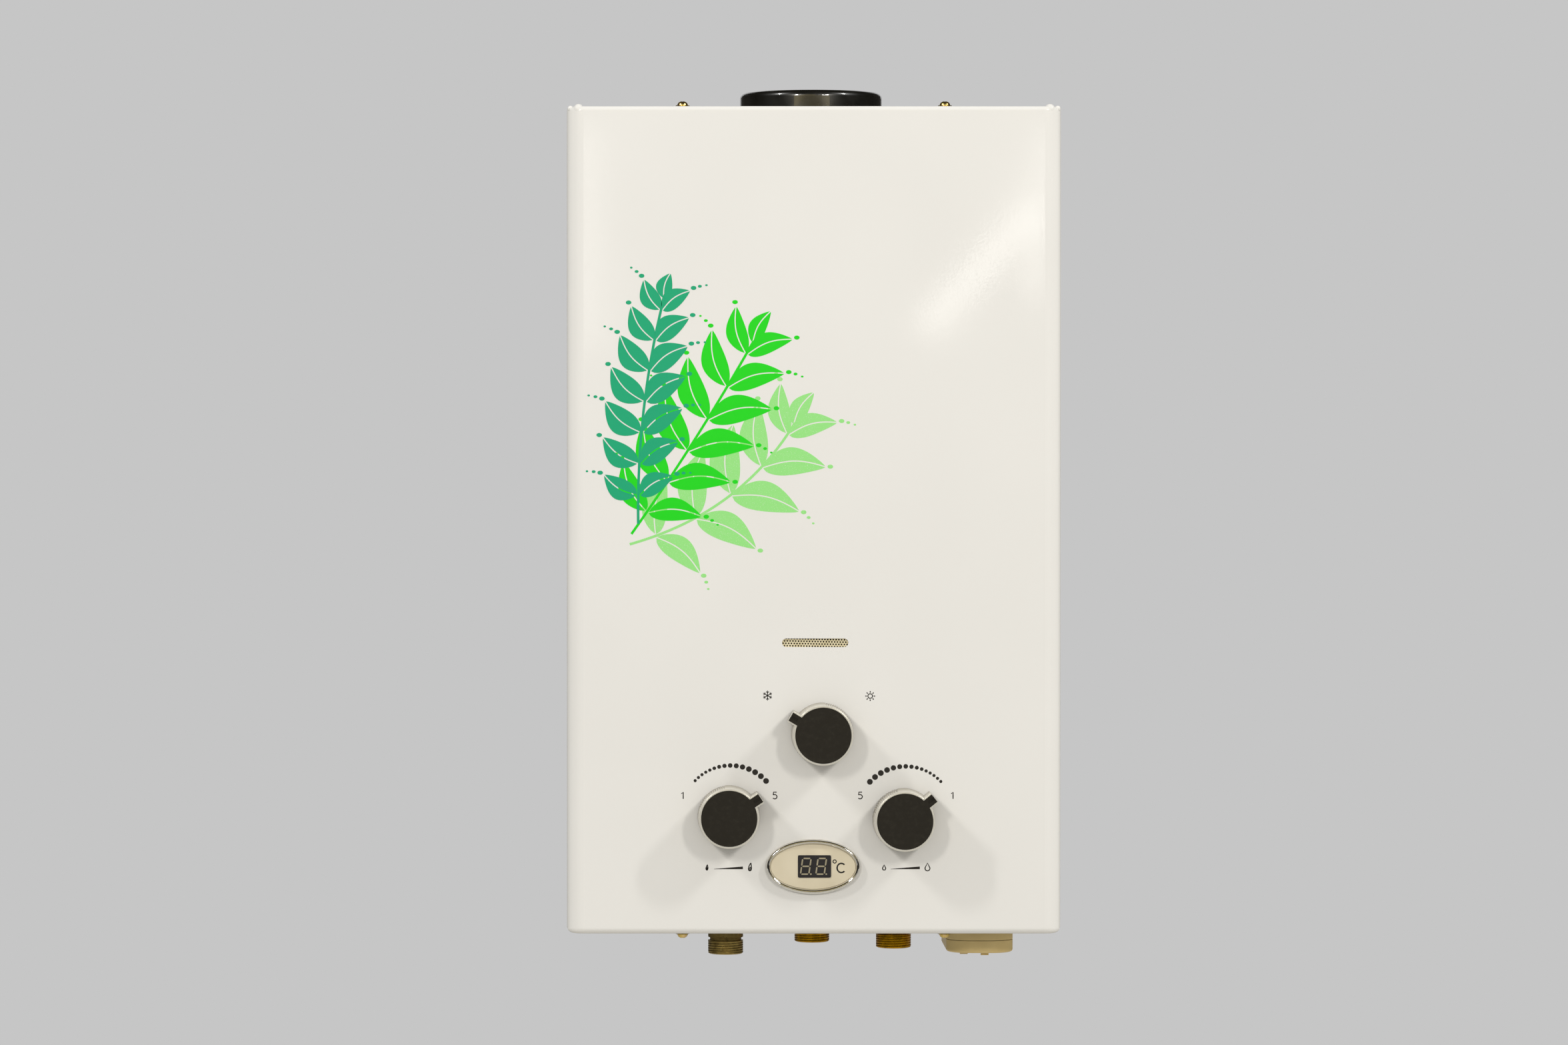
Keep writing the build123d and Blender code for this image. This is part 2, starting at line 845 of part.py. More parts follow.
# Copper coil wound round the outside of the chamber, from the cold pipe to the fins
coil_x = chamber_width / 2 + pipe_gap + pipe_r
coil_front = chamber_front - pipe_gap - pipe_r
coil_back = chamber_back + pipe_gap + pipe_r
joint_z = chamber_bottom - coil_joint_drop
coil_points = [(cold_rise_x, valve_y, joint_z), (cold_rise_x, valve_y, coil_start_z)]
for turn in range(coil_turns):
    level = coil_start_z + turn * coil_pitch
    coil_points.append((coil_x, coil_back, level))
    coil_points.append((-coil_x, coil_back, level))
    coil_points.append((-coil_x, coil_front, level))
    if turn < coil_turns - 1:
        coil_points.append((coil_x, coil_front, level))
coil_end_z = coil_start_z + (coil_turns - 1) * coil_pitch
coil_points.append((riser_x, coil_front, coil_end_z))
coil_points.append((riser_x, exchanger_rows[0], coil_end_z))
coil_points.append((riser_x, exchanger_rows[0], exchanger_z))
coil_points.append((shell_side, exchanger_rows[0], exchanger_z))
coil_radii = [coil_bend] * (len(coil_points) - 5) + [riser_bend_low, riser_bend_low, riser_bend_top]
with BuildPart() as chamber_coil:
    with BuildLine() as coil_path:
        FilletPolyline(*coil_points, radius=coil_radii)
    with BuildSketch(facing_up(joint_z)):
        with Locations((cold_rise_x, valve_y)):
            Circle(pipe_r)
            Circle(pipe_r - tube_wall, mode=Mode.SUBTRACT)
    sweep(path=coil_path.wires()[0])
chamber_coil.part.label = "chamber_coil"
export_step(chamber_coil.part, "parts/chamber_coil.step")

# Cast burner bars: a mixing tube under a blade whose wide top has the flame ports
with BuildPart() as burner_bar:
    with BuildSketch(facing_front(burner_back)):
        with Locations((0, (season_z + burner_top) / 2)):
            Rectangle(burner_blade_width, burner_top - season_z)
        with Locations((0, burner_top - burner_cap_height / 2)):
            RectangleRounded(burner_cap_width, burner_cap_height, burner_cap_round)
    extrude(amount=burner_back - burner_blade_front)
    with BuildSketch(facing_front(burner_back)):
        with Locations((0, season_z)):
            Circle(burner_tube_r)
    extrude(amount=burner_back - burner_mouth_y)
    with BuildSketch(facing_front(burner_back + burner_pin_length)):
        with Locations((0, season_z)):
            Circle(burner_pin_r)
    extrude(amount=burner_pin_length)
    with BuildSketch(facing_front(burner_back - 2 * burner_wall)):
        with Locations((0, season_z)):
            Circle(burner_bore_r)
    extrude(amount=burner_back - 2 * burner_wall - burner_mouth_y, mode=Mode.SUBTRACT)
    port_middle = (burner_blade_front + burner_back) / 2
    with BuildSketch(facing_up(burner_top - burner_port_depth)):
        with Locations((0, port_middle)):
            with GridLocations(1, burner_port_pitch, 1, burner_ports):
                Rectangle(burner_cap_width - 2 * burner_port_margin, burner_port_width)
    extrude(amount=burner_port_depth, mode=Mode.SUBTRACT)

# The ten bars side by side
with BuildPart() as burner_bars:
    with Locations(*[(x, 0, 0) for x in burner_places]):
        add(burner_bar.part)
burner_bars.part.label = "burner_bars"
export_step(burner_bars.part, "parts/burner_bars.step")

# Burner frame hung under the chamber, with two cross plates that carry the bars
with BuildPart() as burner_frame:
    with BuildSketch(facing_up(frame_bottom)):
        add(chamber_plan(0))
        add(chamber_plan(frame_sheet), mode=Mode.SUBTRACT)
    extrude(amount=chamber_bottom - frame_bottom)
    with BuildSketch(facing_front(chamber_front + frame_sheet)):
        with Locations((0, (frame_front_top + chamber_bottom) / 2)):
            Rectangle(chamber_width - 2 * chamber_corner, chamber_bottom - frame_front_top)
        with Locations(*[(x, season_z) for x in burner_places]):
            Circle(jet_clearance_r)
    extrude(amount=frame_sheet, mode=Mode.SUBTRACT)
    cross_height = season_z + burner_tube_r + frame_plate_margin - frame_bottom
    front_plate_y = (burner_mouth_y + burner_blade_front + frame_sheet) / 2
    back_plate_y = burner_back + frame_gap + frame_sheet
    for plate_y, hole_r in (
        (front_plate_y, burner_tube_r + frame_gap),
        (back_plate_y, burner_pin_r + frame_gap),
    ):
        with BuildSketch(facing_front(plate_y)):
            with Locations((0, frame_bottom + cross_height / 2)):
                Rectangle(chamber_width - frame_sheet, cross_height)
            with Locations(*[(x, season_z) for x in burner_places]):
                Circle(hole_r, mode=Mode.SUBTRACT)
        extrude(amount=frame_sheet)
burner_frame.part.label = "burner_frame"
export_step(burner_frame.part, "parts/burner_frame.step")

# Gas manifold bar with the boss of the season valve and the seats of the jets
manifold_middle_y = (manifold_front + manifold_back) / 2
manifold_bottom = season_z - manifold_height / 2
with BuildPart() as gas_manifold:
    with BuildSketch(facing_front(manifold_back)):
        with Locations((0, season_z)):
            RectangleRounded(manifold_length, manifold_height, 2)
    extrude(amount=manifold_depth)
    with BuildSketch(facing_front(manifold_front)):
        with Locations((season_x, season_z)):
            Circle(season_boss_r)
    extrude(amount=season_boss_length)
    with BuildSketch(facing_front(season_boss_front + season_bore_depth)):
        with Locations((season_x, season_z)):
            Circle(season_spool_r + fit_gap)
    extrude(amount=season_bore_depth, mode=Mode.SUBTRACT)
    with BuildSketch(facing_front(manifold_back)):
        with Locations(*[(x, season_z) for x in burner_places]):
            Circle(jet_shank_r + fit_gap)
    extrude(amount=jet_shank_length + fit_gap, mode=Mode.SUBTRACT)
    with BuildSketch(facing_up(manifold_bottom)):
        with Locations((gas_body_x, manifold_middle_y)):
            Circle(riser_r - tube_wall)
    extrude(amount=manifold_height / 2, mode=Mode.SUBTRACT)
gas_manifold.part.label = "gas_manifold"
export_step(gas_manifold.part, "parts/gas_manifold.step")

# Ten brass jets screwed into the back of the manifold
with BuildPart() as gas_jets:
    for x in burner_places:
        with BuildSketch(facing_front(manifold_back + jet_length)):
            with Locations((x, season_z)):
                RegularPolygon(jet_across_flats / 2, 6, major_radius=False)
        extrude(amount=jet_length)
        with BuildSketch(facing_front(manifold_back)):
            with Locations((x, season_z)):
                Circle(jet_shank_r)
        extrude(amount=jet_shank_length)
        with BuildSketch(facing_front(manifold_back + jet_length + jet_tip_length)):
            with Locations((x, season_z)):
                Circle(jet_tip_r)
        extrude(amount=jet_tip_length)
gas_jets.part.label = "gas_jets"
export_step(gas_jets.part, "parts/gas_jets.step")

# Gas riser from the top of the gas valve to the underside of the manifold
with BuildPart() as gas_riser:
    with BuildLine() as riser_path:
        FilletPolyline(
            (gas_body_x, riser_start_y, gas_body_top),
            (gas_body_x, riser_start_y, riser_level),
            (gas_body_x, manifold_middle_y, riser_level),
            (gas_body_x, manifold_middle_y, manifold_bottom),
            radius=riser_bend,
        )
    with BuildSketch(facing_up(gas_body_top)):
        with Locations((gas_body_x, riser_start_y)):
            Circle(riser_r)
            Circle(riser_r - tube_wall, mode=Mode.SUBTRACT)
    sweep(path=riser_path.wires()[0])
    with BuildSketch(facing_up(gas_body_top)):
        with Locations((gas_body_x, riser_start_y)):
            Circle(riser_flange_r)
            Circle(riser_r - tube_wall, mode=Mode.SUBTRACT)
    extrude(amount=riser_flange_thickness)
    with BuildSketch(facing_up(manifold_bottom - riser_flange_thickness)):
        with Locations((gas_body_x, manifold_middle_y)):
            Rectangle(2 * riser_flange_r, manifold_depth)
            Circle(riser_r - tube_wall, mode=Mode.SUBTRACT)
    extrude(amount=riser_flange_thickness)
gas_riser.part.label = "gas_riser"
export_step(gas_riser.part, "parts/gas_riser.step")

# Die-cast gas valve body: spindle bore from the front, rod bore across, inlet below
rod_axis = Axis((0, valve_y, rod_z), (1, 0, 0))
with BuildPart() as gas_valve_body:
    with BuildSketch(facing_up(gas_body_bottom)):
        with Locations((gas_body_x, valve_y)):
            RectangleRounded(gas_body_width, gas_body_depth, casting_round)
    extrude(amount=gas_body_top - gas_body_bottom)
    fillet(gas_valve_body.faces().sort_by(Axis.Z)[-1].edges(), radius=moulding_round)
    with BuildSketch(facing_front(valve_y)):
        with Locations((gas_knob_x, gas_knob_z)):
            Circle(spindle_boss_r)
    extrude(amount=valve_y - boss_front)
    with BuildSketch(facing_up(inlet_boss_bottom)):
        with Locations((gas_inlet_x, valve_y)):
            Circle(inlet_boss_r)
    extrude(amount=gas_body_bottom - inlet_boss_bottom)
    with BuildSketch(facing_up(inlet_boss_bottom)):
        with Locations((gas_inlet_x, valve_y)):
            Circle(nipple_stem_r + fit_gap)
    extrude(amount=inlet_bore_depth, mode=Mode.SUBTRACT)
    with BuildSketch(facing_front(boss_front + spool_length + spool_end_gap)):
        with Locations((gas_knob_x, gas_knob_z)):
            Circle(spool_r + fit_gap)
    extrude(amount=spool_length + spool_end_gap, mode=Mode.SUBTRACT)
    with BuildSketch(facing_right(gas_body_left)):
        with Locations((valve_y, rod_z)):
            Circle(gas_bore_r)
    extrude(amount=gas_bore_depth, mode=Mode.SUBTRACT)
    with BuildSketch(facing_right(seat_x)):
        with Locations((valve_y, rod_z)):
            Circle(gas_seat_r)
    extrude(amount=gas_seat_depth, mode=Mode.SUBTRACT)
    with BuildSketch(facing_right(seat_x)):
        with Locations((valve_y, rod_z)):
            Circle(rod_r + fit_gap)
    extrude(amount=gas_body_right - seat_x, mode=Mode.SUBTRACT)
gas_valve_body.part.label = "gas_valve_body"
export_step(gas_valve_body.part, "parts/gas_valve_body.step")

# Gas poppet on the left end of the push rod, just off its seat
poppet_right = seat_x - seat_gap
poppet_left = poppet_right - poppet_thickness
with BuildPart() as gas_poppet:
    with BuildSketch(facing_right(poppet_left)):
        with Locations((valve_y, rod_z)):
            Circle(poppet_r)
    extrude(amount=poppet_thickness)
    chamfer(gas_poppet.edges().sort_by(Axis.X)[-1], length=1)
gas_poppet.part.label = "gas_poppet"
export_step(gas_poppet.part, "parts/gas_poppet.step")

# Solenoid valve screwed into the left end of the gas valve
solenoid_left = gas_body_left - solenoid_length
spigot_end = gas_body_left + solenoid_spigot
with BuildPart() as solenoid_valve:
    with BuildSketch(facing_right(solenoid_left)):
        with Locations((valve_y, rod_z)):
            Circle(solenoid_r)
    extrude(amount=solenoid_length)
    fillet(solenoid_valve.edges().sort_by(Axis.X)[0], radius=moulding_round)
    with BuildSketch(facing_right(gas_body_left)):
        with Locations((valve_y, rod_z)):
            Circle(gas_bore_r - fit_gap)
    extrude(amount=solenoid_spigot)
    with BuildSketch(facing_right(solenoid_left + solenoid_wall)):
        with Locations((valve_y, rod_z)):
            Circle(plunger_r + fit_gap)
    extrude(amount=spigot_end - solenoid_left - solenoid_wall, mode=Mode.SUBTRACT)
solenoid_valve.part.label = "solenoid_valve"
export_step(solenoid_valve.part, "parts/solenoid_valve.step")

# Steel plunger of the solenoid, free to draw back by its travel
with BuildPart() as solenoid_plunger:
    plunger_left = solenoid_left + solenoid_wall + plunger_travel + pipe_gap
    with BuildSketch(facing_right(plunger_left)):
        with Locations((valve_y, rod_z)):
            Circle(plunger_r)
    extrude(amount=spigot_end - plunger_left)
    with BuildSketch(facing_right(spigot_end)):
        with Locations((valve_y, rod_z)):
            Circle(plunger_tip_r)
    extrude(amount=plunger_tip_length)
solenoid_plunger.part.label = "solenoid_plunger"
export_step(solenoid_plunger.part, "parts/solenoid_plunger.step")

# Closing spring of the poppet, seated on the end of the solenoid
with BuildPart() as poppet_spring:
    spring_left = spigot_end + spring_wire_r + seat_gap
    spring_length = poppet_left - spring_wire_r - seat_gap - spring_left
    with BuildLine() as spring_line:
        Helix(
            pitch=spring_length / spring_coils,
            height=spring_length,
            radius=spring_r,
            center=(spring_left, valve_y, rod_z),
            direction=(1, 0, 0),
        )
    with BuildSketch(Plane(origin=spring_line.line @ 0, z_dir=spring_line.line % 0)):
        Circle(spring_wire_r)
    sweep(path=spring_line.wires()[0])
poppet_spring.part.label = "poppet_spring"
export_step(poppet_spring.part, "parts/poppet_spring.step")

# Brass water valve body: flange of the diaphragm, spindle bore, inlet below, outlet right
water_body_right = water_body_left + water_body_width
with BuildPart() as water_valve_body:
    with BuildSketch(facing_right(water_body_left)):
        with Locations((valve_y, (water_body_top + water_body_bottom) / 2)):
            RectangleRounded(water_body_depth, water_body_top - water_body_bottom, casting_round)
    extrude(amount=water_body_width)
    with BuildSketch(facing_right(water_body_left)):
        with Locations((valve_y, rod_z)):
            Circle(diaphragm_r)
    extrude(amount=body_flange_thickness)
    with BuildSketch(facing_front(valve_y)):
        with Locations((water_knob_x, water_knob_z)):
            Circle(spindle_boss_r)
    extrude(amount=valve_y - boss_front)
    with BuildSketch(facing_up(inlet_boss_bottom)):
        with Locations((cold_inlet_x, valve_y)):
            Circle(inlet_boss_r)
    extrude(amount=water_body_bottom - inlet_boss_bottom)
    with BuildSketch(facing_right(water_body_right)):
        with Locations((valve_y, outlet_z)):
            Circle(outlet_boss_r)
    extrude(amount=outlet_boss_length)
    with BuildSketch(facing_up(inlet_boss_bottom)):
        with Locations((cold_inlet_x, valve_y)):
            Circle(nipple_stem_r + fit_gap)
    extrude(amount=inlet_bore_depth, mode=Mode.SUBTRACT)
    with BuildSketch(facing_front(boss_front + spool_length + spool_end_gap)):
        with Locations((water_knob_x, water_knob_z)):
            Circle(spool_r + fit_gap)
    extrude(amount=spool_length + spool_end_gap, mode=Mode.SUBTRACT)
    with BuildSketch(facing_right(water_body_right)):
        with Locations((valve_y, outlet_z)):
            Circle(pipe_r - tube_wall)
    extrude(amount=outlet_boss_length, mode=Mode.SUBTRACT)
    with BuildSketch(facing_right(water_body_left)):
        with Locations((valve_y, rod_z)):
            Circle(cavity_r)
    extrude(amount=body_cavity_depth, mode=Mode.SUBTRACT)
    with BuildSketch(facing_right(water_body_left)):
        with Locations((valve_y, rod_z)):
            with PolarLocations(clamp_screw_pcd_r, clamp_screw_count):
                Circle(clamp_screw_r + fit_gap)
    extrude(amount=body_flange_thickness, mode=Mode.SUBTRACT)
water_valve_body.part.label = "water_valve_body"
export_step(water_valve_body.part, "parts/water_valve_body.step")

# Rubber diaphragm clamped between the body and its cover
with BuildPart() as diaphragm:
    with BuildSketch(facing_right(cover_right_x)):
        with Locations((valve_y, rod_z)):
            Circle(diaphragm_r)
            with PolarLocations(clamp_screw_pcd_r, clamp_screw_count):
                Circle(clamp_screw_r + fit_gap, mode=Mode.SUBTRACT)
    extrude(amount=diaphragm_thickness)
diaphragm.part.label = "diaphragm"
export_step(diaphragm.part, "parts/diaphragm.step")

# Cover of the diaphragm with the gland of the push rod and a lug over the switch
with BuildPart() as diaphragm_cover:
    with BuildSketch(facing_right(cover_left_x)):
        with Locations((valve_y, rod_z)):
            Circle(diaphragm_r)
    extrude(amount=cover_thickness)
    with BuildSketch(facing_right(cover_left_x - gland_length)):
        with Locations((valve_y, rod_z)):
            Circle(gland_r)
    extrude(amount=gland_length)
    with BuildSketch(facing_right(cover_left_x - lug_reach)):
        with Locations((valve_y, switch_top + pipe_gap + lug_thickness / 2)):
            Rectangle(lug_width, lug_thickness)
    extrude(amount=lug_reach)
    with BuildSketch(facing_right(cover_right_x - cavity_depth)):
        with Locations((valve_y, rod_z)):
            Circle(cavity_r)
    extrude(amount=cavity_depth, mode=Mode.SUBTRACT)
    with BuildSketch(facing_right(cover_left_x - gland_length)):
        with Locations((valve_y, rod_z)):
            Circle(rod_r + fit_gap)
    extrude(amount=gland_length + cover_thickness, mode=Mode.SUBTRACT)
    with BuildSketch(facing_right(cover_left_x)):
        with Locations((valve_y, rod_z)):
            with PolarLocations(clamp_screw_pcd_r, clamp_screw_count):
                Circle(clamp_screw_r + fit_gap)
    extrude(amount=cover_thickness, mode=Mode.SUBTRACT)
diaphragm_cover.part.label = "diaphragm_cover"
export_step(diaphragm_cover.part, "parts/diaphragm_cover.step")

# Screws that clamp the cover and the diaphragm to the body
with BuildPart() as clamp_screws:
    clamp_length = cover_thickness + diaphragm_thickness + body_flange_thickness - clamp_screw_end_gap
    with BuildSketch(facing_right(cover_left_x)):
        with Locations((valve_y, rod_z)):
            with PolarLocations(clamp_screw_pcd_r, clamp_screw_count):
                Circle(clamp_screw_r)
    extrude(amount=clamp_length)
    with BuildSketch(facing_right(cover_left_x - clamp_screw_head_height)):
        with Locations((valve_y, rod_z)):
            with PolarLocations(clamp_screw_pcd_r, clamp_screw_count):
                Circle(clamp_screw_head_r)
    extrude(amount=clamp_screw_head_height)
clamp_screws.part.label = "clamp_screws"
export_step(clamp_screws.part, "parts/clamp_screws.step")

# Push rod: pressure plate on the diaphragm side, switch cam in the middle
with BuildPart() as push_rod:
    plate_right = cover_right_x - pipe_gap
    plate_left = plate_right - rod_plate_thickness
    with BuildSketch(facing_front(valve_y)):
        with BuildLine():
            Polyline(
                (poppet_right, rod_z),
                (poppet_right, rod_z + rod_r),
                (cam_left, rod_z + rod_r),
                (cam_left, rod_z + cam_r),
                (cam_shoulder, rod_z + cam_r),
                (cam_end, rod_z + rod_r),
                (plate_left, rod_z + rod_r),
                (plate_left, rod_z + rod_plate_r),
                (plate_right, rod_z + rod_plate_r),
                (plate_right, rod_z),
                close=True,
            )
        make_face()
    revolve(axis=rod_axis)
push_rod.part.label = "push_rod"
export_step(push_rod.part, "parts/push_rod.step")

# Threaded nipples for gas, hot water and cold water, standing on the bottom panel
nipples = (
    ("gas_inlet_nipple", gas_inlet_x, valve_y, gas_drop, None),
    ("hot_outlet_nipple", hot_outlet_x, hot_outlet_y, hot_drop, hot_stem_top),
    ("cold_inlet_nipple", cold_inlet_x, valve_y, cold_drop, None),
)
for name, x, y, drop, given_top in nipples:
    tip = -casing_top - drop
    hex_top = floor_top + nipple_hex_height
    stem_top = given_top or hex_top + nipple_stem_length
    thread_top = tip + thread_length
    with BuildPart() as nipple:
        with BuildSketch(facing_front(y)):
            with BuildLine():
                Polyline(
                    (x, tip),
                    (x + thread_r - thread_chamfer, tip),
                    (x + thread_r, tip + thread_chamfer),
                    (x + thread_r, thread_top),
                    (x + relief_r, thread_top),
                    (x + relief_r, thread_top + relief_length),
                    (x + thread_r, thread_top + relief_length),
                    (x + thread_r, floor_top),
                    (x + nipple_stem_r, floor_top),
                    (x + nipple_stem_r, stem_top),
                    (x, stem_top),
                    close=True,
                )
            make_face()
        revolve(axis=Axis((x, y, 0), (0, 0, 1)))
        with BuildSketch(facing_up(floor_top)):
            with Locations((x, y)):
                RegularPolygon(nipple_hex / 2, 6, major_radius=False)
        extrude(amount=nipple_hex_height)
        with BuildSketch(facing_up(tip)):
            with Locations((x, y)):
                Circle(nipple_bore_r)
        extrude(amount=stem_top - tip, mode=Mode.SUBTRACT)
    nipple.part.label = name
    export_step(nipple.part, f"parts/{name}.step")

# Cold pipe from the water valve to the coil
outlet_end = water_body_right + outlet_boss_length
with BuildPart() as cold_pipe:
    with BuildLine() as cold_path:
        FilletPolyline(
            (outlet_end, valve_y, outlet_z),
            (cold_rise_x, valve_y, outlet_z),
            (cold_rise_x, valve_y, joint_z),
            radius=coil_bend,
        )
    with BuildSketch(facing_right(outlet_end)):
        with Locations((valve_y, outlet_z)):
            Circle(pipe_r)
            Circle(pipe_r - tube_wall, mode=Mode.SUBTRACT)
    sweep(path=cold_path.wires()[0])
cold_pipe.part.label = "cold_pipe"
export_step(cold_pipe.part, "parts/cold_pipe.step")

# Hot pipe from the last pass of the exchanger, down the left side and across to the outlet
with BuildPart() as hot_pipe:
    hot_row = exchanger_rows[-1]
    with BuildLine() as hot_path:
        FilletPolyline(
            (-shell_side, hot_row, exchanger_z),
            (hot_drop_x, hot_row, exchanger_z),
            (hot_drop_x, hot_row, hot_cross_z),
            (hot_outlet_x, hot_outlet_y, hot_cross_z),
            (hot_outlet_x, hot_outlet_y, hot_stem_top),
            radius=coil_bend,
        )
    with BuildSketch(facing_right(-shell_side)):
        with Locations((hot_row, exchanger_z)):
            Circle(pipe_r)
            Circle(pipe_r - tube_wall, mode=Mode.SUBTRACT)
    sweep(path=hot_path.wires()[0])
hot_pipe.part.label = "hot_pipe"
export_step(hot_pipe.part, "parts/hot_pipe.step")

# Union nuts at the valve outlet, at the coil and at the hot outlet
with BuildPart() as union_nuts:
    for plane, place in (
        (facing_right(outlet_end), (valve_y, outlet_z)),
        (facing_up(joint_z - nut_length / 2), (cold_rise_x, valve_y)),
        (facing_up(hot_stem_top), (hot_outlet_x, hot_outlet_y)),
    ):
        with BuildSketch(plane):
            with Locations(place):
                RegularPolygon(nut_across_flats / 2, 6, major_radius=False)
                Circle(pipe_r + nut_bore_gap, mode=Mode.SUBTRACT)
        extrude(amount=nut_length)
union_nuts.part.label = "union_nuts"
export_step(union_nuts.part, "parts/union_nuts.step")

# Switch above the push rod, with two ears that hold the pin of its lever
ear_offset = lever_width / 2 + switch_ear_gap + switch_ear_thickness / 2
with BuildPart() as flow_switch:
    with BuildSketch(facing_front(valve_y + switch_width / 2)):
        with Locations((switch_right_x - switch_length / 2, (switch_top + switch_bottom) / 2)):
            RectangleRounded(switch_length, switch_top - switch_bottom, 1)
    extrude(amount=switch_width)
    for side in (-1, 1):
        with BuildSketch(facing_front(valve_y + side * ear_offset + switch_ear_thickness / 2)):
            with Locations((lever_pivot_x, (lever_pivot_z + switch_bottom) / 2)):
                Rectangle(switch_ear_width, switch_ear_width + switch_bottom - lever_pivot_z)
            with Locations((lever_pivot_x, lever_pivot_z)):
                Circle(lever_pin_r + fit_gap, mode=Mode.SUBTRACT)
        extrude(amount=switch_ear_thickness)
flow_switch.part.label = "flow_switch"
export_step(flow_switch.part, "parts/flow_switch.step")

# Lever of the switch: knuckle and pin, arm, and the roller over the cam
roller_z = rod_z + cam_r + roller_lift + roller_r
with BuildPart() as switch_lever:
    with BuildSketch(facing_front(valve_y + lever_width / 2)):
        with BuildLine():
            Line((lever_pivot_x, lever_pivot_z), (roller_x, roller_z))
            offset(amount=lever_sheet / 2)
        make_face()
        with Locations((lever_pivot_x, lever_pivot_z)):
            Circle(lever_knuckle_r)
        with Locations((roller_x, roller_z)):
            Circle(roller_r)
    extrude(amount=lever_width)
    pin_length = 2 * (ear_offset + switch_ear_thickness / 2)
    with BuildSketch(facing_front(valve_y + pin_length / 2)):
        with Locations((lever_pivot_x, lever_pivot_z)):
            Circle(lever_pin_r)
    extrude(amount=pin_length)
switch_lever.part.label = "switch_lever"
export_step(switch_lever.part, "parts/switch_lever.step")

# Spark and control box screwed to the back plate
lead_starts = ((ignition_lead_x, ignition_lead_z), (sensor_lead_x, sensor_lead_z))
controller_front = -sheet - controller_depth
with BuildPart() as ignition_controller:
    with BuildSketch(facing_front(-sheet)):
        with Locations((controller_x, controller_z)):
            RectangleRounded(controller_width, controller_height, controller_corner)
    extrude(amount=controller_depth)
    with BuildSketch(facing_front(-sheet)):
        with Locations((controller_x, controller_z)):
            with GridLocations(1, controller_height + controller_lug, 1, 2):
                Rectangle(controller_lug * 2, controller_lug)
                Circle(lower_hole_r, mode=Mode.SUBTRACT)
    extrude(amount=controller_lug_thickness)
    with BuildSketch(facing_front(controller_front)):
        with Locations(*lead_starts):
            Circle(lead_socket_r)
    extrude(amount=lead_socket_length)
ignition_controller.part.label = "ignition_controller"
export_step(ignition_controller.part, "parts/ignition_controller.step")

# Spark electrode and flame sensor: ceramic rod, collar and a bent wire over the burner
for name, x, y in (
    ("spark_electrode", electrode_x, electrode_y),
    ("flame_sensor", sensor_x, sensor_y),
):
    with BuildPart() as electrode:
        with BuildSketch(facing_up(ceramic_bottom)):
            with Locations((x, y)):
                Circle(ceramic_r)
        extrude(amount=ceramic_top - ceramic_bottom)
        with BuildSketch(facing_up(bracket_z)):
            with Locations((x, y)):
                Circle(ceramic_collar_r)
        extrude(amount=ceramic_collar_height)
        with BuildLine() as wire_path:
            FilletPolyline(
                (x, y, ceramic_top), (x, y, wire_level), (x, wire_tip_y, wire_level),
                radius=wire_bend,
            )
        with BuildSketch(facing_up(ceramic_top)):
            with Locations((x, y)):
                Circle(wire_r)
        sweep(path=wire_path.wires()[0])
    electrode.part.label = name
    export_step(electrode.part, f"parts/{name}.step")

# Bent bracket that holds both ceramics on the front of the burner frame
with BuildPart() as electrode_bracket:
    bracket_left = electrode_x - bracket_margin
    bracket_right = sensor_x + bracket_margin
    bracket_front = sensor_y - bracket_margin / 2
    with BuildSketch(facing_up(bracket_z - bracket_sheet)):
        with Locations(
            ((bracket_left + bracket_right) / 2, (chamber_front + bracket_front) / 2)
        ):
            Rectangle(bracket_right - bracket_left, chamber_front - bracket_front)
        with Locations((electrode_x, electrode_y), (sensor_x, sensor_y)):
            Circle(ceramic_r + fit_gap, mode=Mode.SUBTRACT)
    extrude(amount=bracket_sheet)
    with BuildSketch(facing_front(chamber_front)):
        with Locations(
            ((bracket_left + bracket_right) / 2, (frame_front_top + bracket_z) / 2)
        ):
            Rectangle(bracket_right - bracket_left, frame_front_top - bracket_z)
    extrude(amount=bracket_sheet)
electrode_bracket.part.label = "electrode_bracket"
export_step(electrode_bracket.part, "parts/electrode_bracket.step")

# Battery holder: a deep cup with a rim that rests on the bottom panel, and hinge ears
hinge_y = battery_back + hinge_setback
hinge_z = battery_seam
arm_length = hinge_setback + battery_wall / 2
arm_y = hinge_y - arm_length / 2
with BuildPart() as battery_box:
    with BuildSketch(facing_up(battery_seam)):
        add(battery_plan(0))
    extrude(amount=battery_box_top - battery_seam)
    fillet(battery_box.faces().sort_by(Axis.Z)[-1].edges(), radius=moulding_round)
    with BuildSketch(facing_up(floor_top)):
        add(battery_plan(battery_rim))
    extrude(amount=battery_rim_thickness)
    with BuildSketch(facing_up(battery_seam)):
        add(battery_plan(-battery_wall))
    extrude(amount=battery_ceiling - battery_seam, mode=Mode.SUBTRACT)
    ear_reach = hinge_door_width / 2 + battery_door_gap + hinge_ear_width / 2
    for side in (-1, 1):
        with BuildSketch(facing_right(battery_x + side * ear_reach - hinge_ear_width / 2)):
            with Locations((hinge_y, hinge_z)):
                Circle(hinge_knuckle_r)
            with Locations((arm_y, hinge_z + hinge_knuckle_r / 2)):
                Rectangle(arm_length, hinge_knuckle_r)
            with Locations((hinge_y, hinge_z)):
                Circle(hinge_pin_r + fit_gap, mode=Mode.SUBTRACT)
        extrude(amount=hinge_ear_width)
battery_box.part.label = "battery_box"
export_step(battery_box.part, "parts/battery_box.step")

